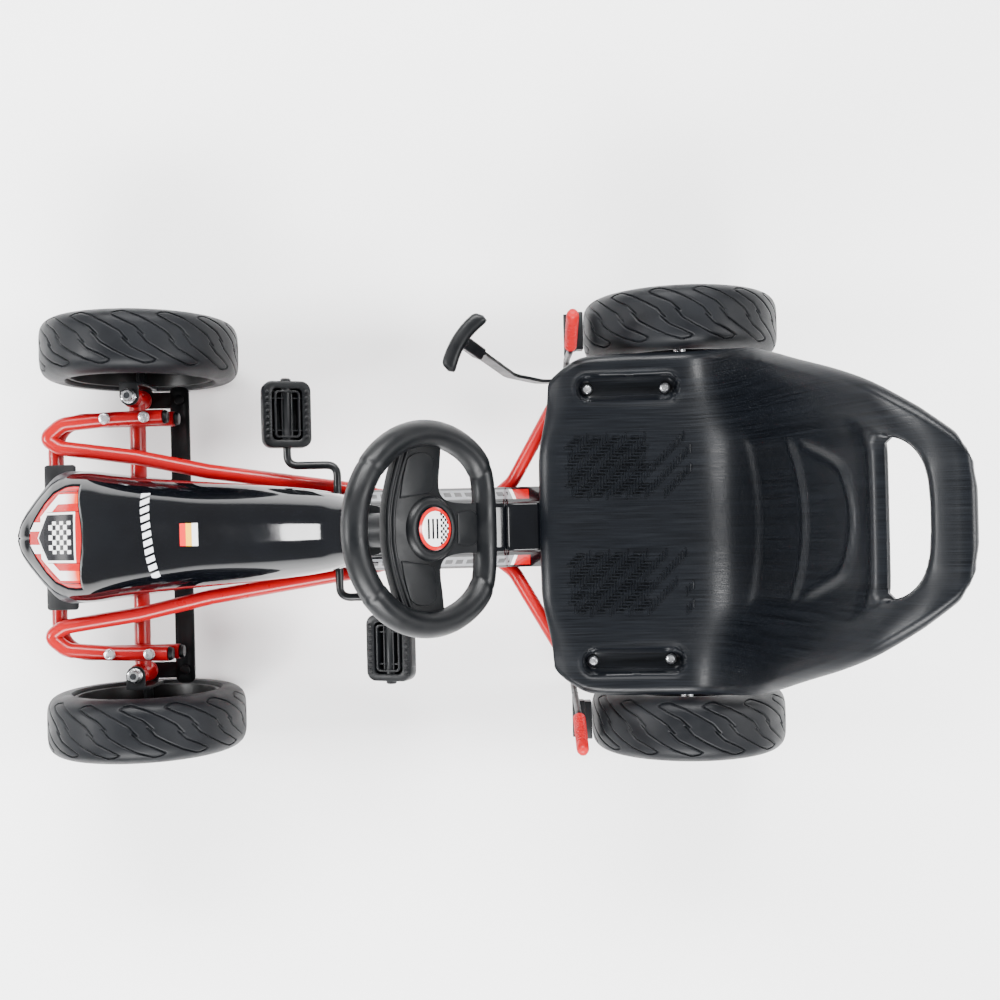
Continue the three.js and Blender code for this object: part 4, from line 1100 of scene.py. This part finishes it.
# %% Beam cover
COVER = np.array([[188, 196], [178, 240], [165, 254], [121, 259], [62, 257], [-86, 225], [-91, 216],
                  [-130, 210], [-205, 203]], float)[::-1]
COVER_LOW = 182.5
cover_x = np.concatenate([np.linspace(-205, -95, 24), np.linspace(-94, -84, 12), np.linspace(-80, 150, 30),
                          np.linspace(152, 188, 26)])
cover_top = smooth_curve(cover_x, COVER[:, 0], COVER[:, 1])
sections = []
for x, top in zip(cover_x, cover_top):
    lip = min(5, (top - COVER_LOW) / 3)
    side_line = [(50.5, COVER_LOW), (50.5, COVER_LOW + 2), (49.6, COVER_LOW + 3.6), (33.5, top - lip - 2.2),
                 (31.4, top - lip), (30.4, top - lip + 1.2), (29.4, top - 1.2), (27.8, top - 0.2), (24, top),
                 (8, top)]
    line = [(x, y, z) for y, z in side_line]
    sections.append(line + [(x, -y, z) for x, y, z in line[::-1]])
cover_grid = np.array(sections)
n_rows, n_cols = cover_grid.shape[:2]
cover = mesh_from(cover_grid.reshape(-1, 3) * MM, [
    (i * n_cols + j, (i + 1) * n_cols + j, (i + 1) * n_cols + j + 1, i * n_cols + j + 1)
    for i in range(n_rows - 1) for j in range(n_cols - 1)] + [
    tuple(range(n_cols)), tuple((n_rows - 1) * n_cols + j for j in range(n_cols))], "cover")
clean(cover, 1e-6)
if sum(p.normal.z * p.area for p in cover.data.polygons) < 0:
    cover.data.flip_normals()
modify(cover, "SOLIDIFY", thickness=SHELL_WALL * MM, offset=-1)
arch_tool = fresh(bpy.ops.mesh.primitive_cylinder_add, vertices=40, radius=0.01, depth=0.14,
                  location=(0.121, 0, 0.195), rotation=(math.pi / 2, 0, 0))
cut(cover, arch_tool)
below_tool = fresh(bpy.ops.mesh.primitive_cube_add, size=1, location=(0.121, 0, 0.1825))
below_tool.scale = (0.02, 0.14, 0.025)
cut(cover, below_tool)
smooth(cover, 38)

print("cover faces", len(cover.data.polygons))

# %% Cover finish
strip = Finish("cover_with_side_strips", (0.004, 0.0045, 0.006), 0.1,
               coat=0.3, coat_roughness=0.04, specular=0.22)
sx, strip_y, _ = strip.millimetres()
sy = strip.math("ABSOLUTE", strip_y)
base = strip.mix(strip.spread(strip.noise(16), 0, 1), *SHELL_BLACK)
on_strip = strip.both(strip.inside(sy, 35.0, 47.4), strip.inside(sx, -118.0, 150.0))
printed = strip.mix(strip.spread(strip.noise(50), 0, 1), (0.15, 0.155, 0.165), (0.18, 0.185, 0.195))
slant = strip.repeat(strip.add(strip.minus(sx, strip.times(sy, 0.5)), 900.0), 13.0)
dashes = strip.both(strip.under(slant, 8.6), strip.inside(sy, 38.6, 44.2), strip.over(sx, -92.0))
printed = strip.mix(dashes, printed, INK)
rear_end = strip.minus(sx, strip.times(sy, 0.4))
for limit, colour in ((-112.0, (0.85, 0.85, 0.85)), (-116.0, RED)):
    printed = strip.mix(strip.under(rear_end, limit), printed, colour)
strip.tint(strip.mix(on_strip, base, printed))
strip.rough(0.08, 0.16, 24)
strip.bump((strip.noise(26, 1.0), 0.08, 0.0015), (strip.noise(1200), 0.03, 0.0001))
done(cover, "cover_shell", "chassis", strip.material, ["beam_cover"])
print("covers done")

# %% [markdown]
# ## Steering wheel
# The rim is one moulded ring, flat towards the driver, with thicker grips left and right. The spokes are a
# crescent plate with a raised double bead along its front edge, a third spoke to the driver and a domed
# hub. It is built flat, in the steering column's own frame, then set at the column's tilt.

# %% Steering wheel rim
RIM_R, RIM_FLAT = 95.5, 76.5


def rim_ring():
    points, faces = [], []
    around, section = 256, 32
    for i in range(around):
        a = 2 * math.pi * i / around
        facing = max(-math.cos(a), 1e-6)
        centre = (RIM_R ** -14 + (RIM_FLAT / facing) ** -14) ** (-1 / 14)
        from_front = abs((math.degrees(a) + 180) % 360 - 180)
        grip = float(soft_step(38, 41, from_front)) * (1 - float(soft_step(137, 140, from_front)))
        seam = math.exp(-((from_front - 38) / 0.9) ** 2) + math.exp(-((from_front - 141) / 0.9) ** 2)
        radius = 12.9 + 0.6 * grip - 0.5 * seam
        for j in range(section):
            b = 2 * math.pi * j / section
            reach = centre + radius * math.cos(b)
            points.append((reach * math.cos(a) * MM, reach * math.sin(a) * MM, radius * math.sin(b) * MM))
    for i in range(around):
        for j in range(section):
            k, m = (i + 1) % around, (j + 1) % section
            faces.append((i * section + j, k * section + j, k * section + m, i * section + m))
    return smooth(mesh_from(points, faces, "ring"), 60)


def flat_piece(outline, low, high, width, segments=3):
    """A flat outline in millimetres, made thick and rounded."""
    n = len(outline)
    points = [(x * MM, y * MM, z * MM) for z in (low, high) for x, y in outline]
    faces = [tuple(range(n - 1, -1, -1)), tuple(range(n, 2 * n))]
    faces += [(i, (i + 1) % n, n + (i + 1) % n, n + i) for i in range(n)]
    piece = clean(mesh_from(points, faces, "plate"), 1e-6)
    modify(piece, "BEVEL", width=width * MM, segments=segments, limit_method="ANGLE",
           angle_limit=math.radians(50))
    return smooth(piece, 40)


def round_line(points, rounds=3):
    """Corner cutting: an open line turns into a soft curve that keeps its ends."""
    for _ in range(rounds):
        softer = [points[0]]
        for (x0, y0), (x1, y1) in zip(points, points[1:]):
            softer.append((0.75 * x0 + 0.25 * x1, 0.75 * y0 + 0.25 * y1))
            softer.append((0.25 * x0 + 0.75 * x1, 0.25 * y0 + 0.75 * y1))
        points = softer + [points[-1]]
    return points


def both_ways(half):
    """The line and its mirror image, as one closed outline."""
    return half + [(x, -y) for x, y in half[::-1]]


print("wheel helpers ready")

# %% Spokes, pads and hub
front_edge = round_line([(59, 0), (59, 14), (56, 32), (49, 56), (37, 88)])
rear_edge = round_line([(-16, 90), (-15, 70), (-11, 44), (-14, 33), (-24, 27), (-50, 25), (-72, 27)])
plate = flat_piece(both_ways(front_edge + rear_edge), -7, 1.5, 1.6)
parts = [rim_ring(), plate]
for inset, wide, z in ((3.2, 2.6, 1.6), (10.2, 2.2, 1.6)):
    arc = [(x - inset, y * (1 - inset / 160)) for x, y in front_edge]
    line = [(x, -y, z) for x, y in arc[:0:-1]] + [(x, y, z) for x, y in arc]
    parts.append(pipe([p for p in line if abs(p[1]) < 84], wide, 0, 6))
pad = round_line([(40, 30), (36, 52), (27, 76), (-6, 76), (-5, 52), (-4, 36), (14, 34), (40, 30)], 2)[:-1]
for side in (1, -1):
    outline = [(x, side * y) for x, y in pad]
    parts.append(flat_piece(outline if side > 0 else outline[::-1], 0, 3.0, 1.0))
low_pad = round_line([(-36, 12), (-36, 17), (-64, 19), (-64, 0)], 2)
parts.append(flat_piece(both_ways(low_pad), 0, 2.8, 1.0))
collar = [(0, -14), (27, -14), (32.5, -8), (33, 0), (32.4, 3), (30.6, 6.0), (28, 7.8), (25, 8.2), (23.2, 7.6),
          (22.6, 6.2), (22.4, 5.4), (0, 5.4)]
boss = [(9, -38), (16.4, -38), (17, -37), (19, -16), (24, -8), (0, -8)]
parts += [spun(collar, 72, "Z"), spun(boss, 48, "Z")]
wheel = join(*parts)
place(wheel, COLUMN)
done(wheel, "driver_wheel", "steering", plastic.material, ["steering_wheel"])
print("wheel faces", len(wheel.data.polygons))

# %% [markdown]
# The badge is a slightly domed disc: a red ring, a white field and a checker towards the driver. It has
# its own flat map, measured in the disc's own plane, so that the print stays round on the tilted disc.

# %% Badge
badge = spun([(0, 6.3), (22, 6.3), (22, 7.6), (21, 8.3), (14, 8.8), (6, 9.0), (0, 9.0)], 72, "Z")
uv = badge.data.uv_layers.new(name="flat")
for loop in badge.data.loops:
    x, y, _ = badge.data.vertices[loop.vertex_index].co
    uv.data[loop.index].uv = (x * 10 + 0.5, y * 10 + 0.5)
place(badge, COLUMN)
print_ink = Finish("badge_print", (0.85, 0.85, 0.85), 0.16, coat=0.3, coat_roughness=0.06, specular=0.3)
map_node = print_ink.node("UVMap", uv_map="flat")
split = print_ink.node("SeparateXYZ")
print_ink.link(map_node.outputs["UV"], split.inputs[0])
bx, by = (print_ink.times(print_ink.minus(split.outputs[axis], 0.5), 100.0) for axis in "XY")
radius = print_ink.math("SQRT", print_ink.add(print_ink.times(bx, bx), print_ink.times(by, by)))
TILE = 2.9
tile_x = print_ink.squares(print_ink.add(bx, 44.0), TILE)
tile_y = print_ink.squares(print_ink.add(by, 45.0), TILE)
tiles = print_ink.both(print_ink.math("COMPARE", tile_x, tile_y, 0.1), print_ink.inside(bx, -18.0, -6.4))
face = print_ink.mix(tiles, (0.86, 0.86, 0.85), INK)
for low, high in ((-3.5, -0.8), (2.2, 4.9), (7.9, 10.6)):
    bar = print_ink.both(print_ink.inside(bx, low, high), print_ink.inside(by, -10.0, 10.0))
    face = print_ink.mix(bar, face, INK)
patches = print_ink.spread(print_ink.noise(90), 0, 1)
ring_red = print_ink.mix(patches, (0.46, 0.0015, 0.004), (0.52, 0.002, 0.005))
face = print_ink.mix(print_ink.over(radius, 17.6), face, ring_red)
print_ink.tint(print_ink.mix(print_ink.over(radius, 21.3), face, INK))
print_ink.rough(0.12, 0.2, 40)
print_ink.bump((print_ink.noise(400), 0.04, 0.0001))
done(badge, "hub_badge", "steering", print_ink.material, ["wheel_badge"])
print("badge made")

# %% [markdown]
# ## Crank, pedals and chain
# The crank is one bent round bar. Each pedal is a deep rounded frame with a row of studs on both long
# sides, an inner ring and a centre tube with wedge ends.

# %% Crank
CRANK_X, CRANK_Z, THROW = 121, 195, 62
CRANK_END, WEB_Y, PEDAL_Y = 189, 83, 147
crank_line = [(CRANK_X + THROW, -CRANK_END, CRANK_Z), (CRANK_X + THROW, -WEB_Y, CRANK_Z),
              (CRANK_X, -WEB_Y, CRANK_Z), (CRANK_X, WEB_Y, CRANK_Z),
              (CRANK_X - THROW, WEB_Y, CRANK_Z), (CRANK_X - THROW, CRANK_END, CRANK_Z)]
crank = pipe(crank_line, 5, 14)
cap_profile = [(0, -1.5), (5.6, -1.5), (6.6, -0.5), (6.6, 2), (5, 3.4), (0, 3.8)]
caps = []
for side in (1, -1):
    outwards = Matrix.Identity(4) if side > 0 else Matrix.Rotation(math.pi, 4, "Z")
    at = shift(CRANK_X - side * THROW, side * CRANK_END, CRANK_Z)
    caps.append(place(spun(cap_profile, 24), at @ outwards))
done(join(crank, *caps), "bent_crank", "crank", black.material, ["crank"])
print("crank made")

# %% Pedals
def round_rect(half_x, half_y, radius, steps=7):
    line = []
    for cx, cy, start in ((1, 1, 0), (-1, 1, 90), (-1, -1, 180), (1, -1, 270)):
        for i in range(steps + 1):
            a = math.radians(start + 90 * i / steps)
            line.append((cx * (half_x - radius) + radius * math.cos(a),
                         cy * (half_y - radius) + radius * math.sin(a)))
    return line


def frame_ring(outer, inner, low, high, width):
    """A closed band between two outlines with the same number of corners."""
    n = len(outer)
    rings = ((outer, high), (inner, high), (inner, low), (outer, low))
    points = [(x * MM, y * MM, z * MM) for line, z in rings for x, y in line]
    faces = [(r * n + i, r * n + (i + 1) % n, ((r + 1) % 4) * n + (i + 1) % n, ((r + 1) % 4) * n + i)
             for r in range(4) for i in range(n)]
    piece = clean(mesh_from(points, faces, "band"), 1e-6)
    modify(piece, "BEVEL", width=width * MM, segments=2, limit_method="ANGLE", angle_limit=math.radians(50))
    return smooth(piece, 40)


def pedal():
    parts = [frame_ring(round_rect(30, 41.5, 12), round_rect(18.5, 32, 6), -11, 9.2, 2.2)]
    parts.append(frame_ring(round_rect(16, 29.5, 5), round_rect(13.4, 27, 3.6), -8, 9.4, 0.6))
    parts.append(bevelled_box((-19, -32.5, -10.6), (19, 32.5, -9), 0.4, 1))
    stud = [(3.0, 0), (2.8, 0.7), (1.6, 1.5), (0, 1.7)]
    row_x, half_bar = 24.2, 4.3
    for x in (-6.2, 6.2):
        parts.append(bevelled_box((x - 0.9, -28, -8), (x + 0.9, 28, 7), 0.4, 1))
    for y in (-20, 20):
        parts.append(bevelled_box((-19, y - 1, -8), (19, y + 1, 6), 0.4, 1))
    parts.append(spun([(5.5, -36), (7.6, -36), (7.6, -24), (6.9, -22), (6.9, 22), (7.6, 24), (7.6, 36),
                       (5.5, 36), (5.5, -36)], 24))
    for y in (-34.4, 34.4):
        parts.append(bevelled_box((-9, y - 2.6, -8), (9, y + 2.6, 8), 1.2, 2))
    for side in (1, -1):
        for k in range(8):
            y = -28 + 8 * k
            x = side * row_x
            parts.append(place(spun(stud, 10, "Z"), shift(x, y, 9.1)))
            parts.append(bevelled_box((x - half_bar, y + 3.7, 8.6), (x + half_bar, y + 4.4, 9.9), 0.3, 1))
        parts.append(bevelled_box((side * 29 - 1.3, -24, -9), (side * 29 + 1.3, 24, 5), 0.8, 1))
    return join(*parts)


first_pedal = pedal()
for word, side in SIDES:
    tipped = Matrix.Rotation(side * math.radians(20), 4, "Y")
    on_crank = copy_of(first_pedal, shift(CRANK_X - side * THROW, side * PEDAL_Y, CRANK_Z) @ tipped)
    done(on_crank, f"studded_pedal_{word}", f"pedal_{word}", plastic.material,
         [f"pedal_{word}"])
bpy.data.objects.remove(first_pedal)
print("pedals done")

# %% Chain
FRONT_PITCH, REAR_PITCH, CHAIN_Y = 48.7, 32.6, -26
LINK, PIN_R = 12.7, 2.0
REAR_AT, FRONT_AT = np.array([-321.0, 125.0]), np.array([float(CRANK_X), float(CRANK_Z)])
run = REAR_AT - FRONT_AT
away = math.atan2(run[1], run[0])
wrap = math.acos((FRONT_PITCH - REAR_PITCH) / np.hypot(*run))
path = []
arcs = ((FRONT_AT, FRONT_PITCH, away + wrap, away - wrap + 2 * math.pi, 300),
        (REAR_AT, REAR_PITCH, away - wrap, away + wrap, 200))
for centre, pitch, start, stop, count in arcs:
    path += [centre + pitch * np.array([math.cos(a), math.sin(a)]) for a in np.linspace(start, stop, count)]
path = np.array(path + [path[0]])
length = np.concatenate([[0], np.cumsum(np.linalg.norm(np.diff(path, axis=0), axis=1))])
links = int(length[-1] / LINK / 2) * 2
stops = np.linspace(0, length[-1], links + 1)
pins = np.stack([np.interp(stops, length, path[:, 0]), np.interp(stops, length, path[:, 1])], axis=1)


def side_bar(reach, half_width, y):
    """One link plate: a flat bar with a waist and round ends."""
    line = []
    for end in (1, -1):
        for k in range(-2, 3):
            a = math.radians(90 * (1 - end) + 42 * k)
            line.append((end * reach / 2 + half_width * math.cos(a), half_width * math.sin(a)))
    points = [(x * MM, (y + d) * MM, z * MM) for d in (-0.6, 0.6) for x, z in line]
    n = len(line)
    return points, [tuple(range(n)), tuple(range(2 * n - 1, n - 1, -1))] + [
        (i, n + i, n + (i + 1) % n, (i + 1) % n) for i in range(n)]


points, faces = [], []
for i in range(links):
    a, b = pins[i], pins[i + 1]
    angle = math.atan2(b[1] - a[1], b[0] - a[0])
    spin = np.array([[math.cos(angle), -math.sin(angle)], [math.sin(angle), math.cos(angle)]])
    middle = (a + b) / 2
    reach = float(np.hypot(*(b - a)))
    for y in ((-1.9, 1.9) if i % 2 else (-3.2, 3.2)):
        corners, sheets = side_bar(reach, 3.3, y)
        base = len(points)
        for x, py_, z in corners:
            turned = spin @ np.array([x / MM, z / MM]) + middle
            points.append((turned[0] * MM, py_ + CHAIN_Y * MM, turned[1] * MM))
        faces += [tuple(base + k for k in sheet) for sheet in sheets]
    base = len(points)
    for y in (-3.9, 3.9):
        for k in range(8):
            t = 2 * math.pi * k / 8
            points.append(((a[0] + PIN_R * math.cos(t)) * MM, (CHAIN_Y + y) * MM,
                           (a[1] + PIN_R * math.sin(t)) * MM))
    faces += [tuple(base + k for k in range(8)), tuple(base + 8 + k for k in range(7, -1, -1))]
    faces += [(base + k, base + 8 + k, base + 8 + (k + 1) % 8, base + (k + 1) % 8) for k in range(8)]
chain = smooth(clean(mesh_from(points, faces, "chain"), 1e-7), 30)
done(chain, "link_chain", "chassis", chain_steel.material, ["chain"])
print("chain links", links, "faces", len(chain.data.polygons))

# %% [markdown]
# ## Hand brake, grips and shift lever handle
# The brake is one thin bent bar with two shoes. Each lever ends in a red ribbed sleeve, which is a lathe
# shape set along the lever. The shift lever has a curved handle with a round end cap.

# %% Brake bar
BRAKE_X, BRAKE_Z, SHOE_Z, GRIP_SHIFT = -172, 125, 160, 8


def brake_side(side):
    return [(BRAKE_X, side * 256 + GRIP_SHIFT, 292), (BRAKE_X, side * 222 + GRIP_SHIFT, 225),
            (BRAKE_X, side * 214, 150), (BRAKE_X, side * 204, BRAKE_Z)]


brake = pipe(brake_side(1) + brake_side(-1)[::-1], 4, 16)
shoes = []
for side in (1, -1):
    shoes.append(pipe([(BRAKE_X, side * 213, SHOE_Z), (BRAKE_X, side * 270, SHOE_Z)], 4, 0))
    middle = side * 248
    shoes.append(bevelled_box((-184, middle - 25, SHOE_Z - 9), (BRAKE_X - 2, middle + 25, SHOE_Z + 9), 2.0))
    shoes.append(bevelled_box((-192.5, middle - 24, SHOE_Z - 10), (-183.5, middle + 24, SHOE_Z + 10), 1.4, 2))
done(join(brake, *shoes), "bent_brake_bar", "brake", black.material, ["brake_bar"])
print("brake bar made")

# %% Red grips

sleeve_line = [(4.4, 9), (6.4, 9), (7.4, 10), (7.5, 12)]
for k in range(11):
    s = 15 + k * 4.6
    sleeve_line += [(7.5, s), (6.7, s + 0.6), (6.7, s + 1.5), (7.5, s + 2.1)]
sleeve_line += [(7.5, 70), (7.1, 74.5), (5.4, 78.3), (3, 79.6), (0, 80)]
for word, side in SIDES:
    tip, foot = (Vector(p) for p in brake_side(side)[:2])
    along = (tip - foot)
    reach = along.length
    scale = (reach + 4) / 80
    sleeve = spun([(r, h * scale) for r, h in sleeve_line], 32, "Z")
    place(sleeve, Matrix.Translation(foot * MM) @ along.to_track_quat("Z", "Y").to_matrix().to_4x4())
    done(sleeve, f"ribbed_grip_{word}", "brake", grip_red.material, [f"brake_grip_{word}"])
print("grips made")

# %% Shift handle
LEVER_TIP, HANDLE_AT = Vector((-62, -201, 312)), Vector((-43, -211, 345))
across_dir = Vector((0.555, 0.832, 0)).normalized()
stem_dir = (HANDLE_AT - LEVER_TIP).normalized()
bow = (Vector((stem_dir.x, stem_dir.y, 0)) - across_dir * stem_dir.dot(across_dir)).normalized()


def handle_bar():
    points, faces = [], []
    stations, ring = 33, 24
    for i in range(stations):
        t = -1 + 2 * i / (stations - 1)
        end = (1 - abs(t) ** 14) ** 0.5 if abs(t) < 1 else 0.0
        centre = HANDLE_AT + across_dir * (37 * t) - bow * (7.5 * t * t - 2.5)
        wide = (8.6 + 1.0 * t * t) * max(end, 0.05)
        tall = 8.2 * max(end, 0.05)
        for j in range(ring):
            a = 2 * math.pi * j / ring
            c, s = math.cos(a), math.sin(a)
            sideways, up = wide * math.copysign(abs(c) ** 0.8, c), tall * math.copysign(abs(s) ** 0.8, s)
            points.append(tuple((centre + bow * sideways + Vector((0, 0, up))) * MM))
    for i in range(stations - 1):
        for j in range(ring):
            a, b = i * ring + j, i * ring + (j + 1) % ring
            faces.append((a, b, b + ring, a + ring))
    faces += [tuple(range(ring - 1, -1, -1)), tuple((stations - 1) * ring + j for j in range(ring))]
    return smooth(clean(mesh_from(points, faces, "handle"), 1e-7), 50)


socket = flat_piece(round_rect(7.2, 7.8, 2.6), 0.8, (HANDLE_AT - LEVER_TIP).length, 0.8)
turn = stem_dir.to_track_quat("Z", "Y").to_matrix().to_4x4()
place(socket, Matrix.Translation(LEVER_TIP * MM) @ turn)
flare = spun([(0, -6), (7.4, -6), (8.4, -2), (8.8, 0), (0, 0)], 24, "Z")
place(flare, Matrix.Translation(HANDLE_AT * MM) @ turn)
done(join(handle_bar(), socket, flare), "shift_grip", "shift_lever", plastic.material,
     ["shift_handle"])
print("shift handle made")

# %% [markdown]
# ## Fasteners
# The kingpins are bolts with lock nuts; button heads with hex sockets hold the rails and the seat.

# %% Nuts and bolts
def hex_nut(radius, low, high):
    nut = fresh(bpy.ops.mesh.primitive_cylinder_add, vertices=6, radius=radius * MM, depth=(high - low) * MM,
                location=(0, 0, (high + low) / 2 * MM))
    place(nut, Matrix.Identity(4))
    modify(nut, "BEVEL", width=0.7 * MM, segments=2)
    return smooth(nut, 35)


def button_head(radius, height):
    profile = [(0, 0.2), (radius, 0.2), (radius, height * 0.35), (radius * 0.86, height * 0.8),
               (radius * 0.58, height), (radius * 0.46, height), (radius * 0.42, height - 0.3),
               (radius * 0.40, 1.2), (0, 1.0)]
    return spun(profile, 32, "Z")


for word, side in SIDES:
    bolt = [spun([(0, 86), (5, 86), (5, 170), (0, 170)], 24, "Z"),
            hex_nut(8.5, 87, 95.5), hex_nut(9.4, 160.4, 166.2),
            spun([(0, 160.2), (9.3, 160.2), (9.3, 161.2), (8.9, 161.5), (0, 161.5)], 32, "Z"),
            spun([(0, 165), (7.6, 165), (7.6, 167.8), (6.6, 169.0), (5.2, 169.0), (5.2, 166), (0, 166)], 32,
                 "Z")]
    pin = place(join(*bolt), shift(KINGPIN_X, side * KINGPIN_Y, 0))
    done(pin, f"kingpin_bolt_{word}", "chassis", zinc.material, [f"kingpin_{word}"])
    end_cap = spun([(0, 166), (4.6, 166), (4.6, 169.6), (4.0, 170.2), (0, 170.2)], 24, "Z")
    place(end_cap, shift(KINGPIN_X, side * KINGPIN_Y, 0))
    done(end_cap, f"bolt_end_{word}", "chassis", nylon.material)
    heads = [place(button_head(7.2, 3.9), shift(x, side * y, 175.2)) for x, y in ((417, 149.5), (367, 150.5))]
    done(join(*heads), f"rail_bolt_heads_{word}", "chassis", zinc.material)
    seat_heads = [place(button_head(6.8, 4.4), shift(x, side * SEAT_BOLT_Y, 216.4)) for x in (-192, -288)]
    done(join(*seat_heads), f"seat_bolt_heads_{word}", "chassis", zinc.material)
print("fasteners made")
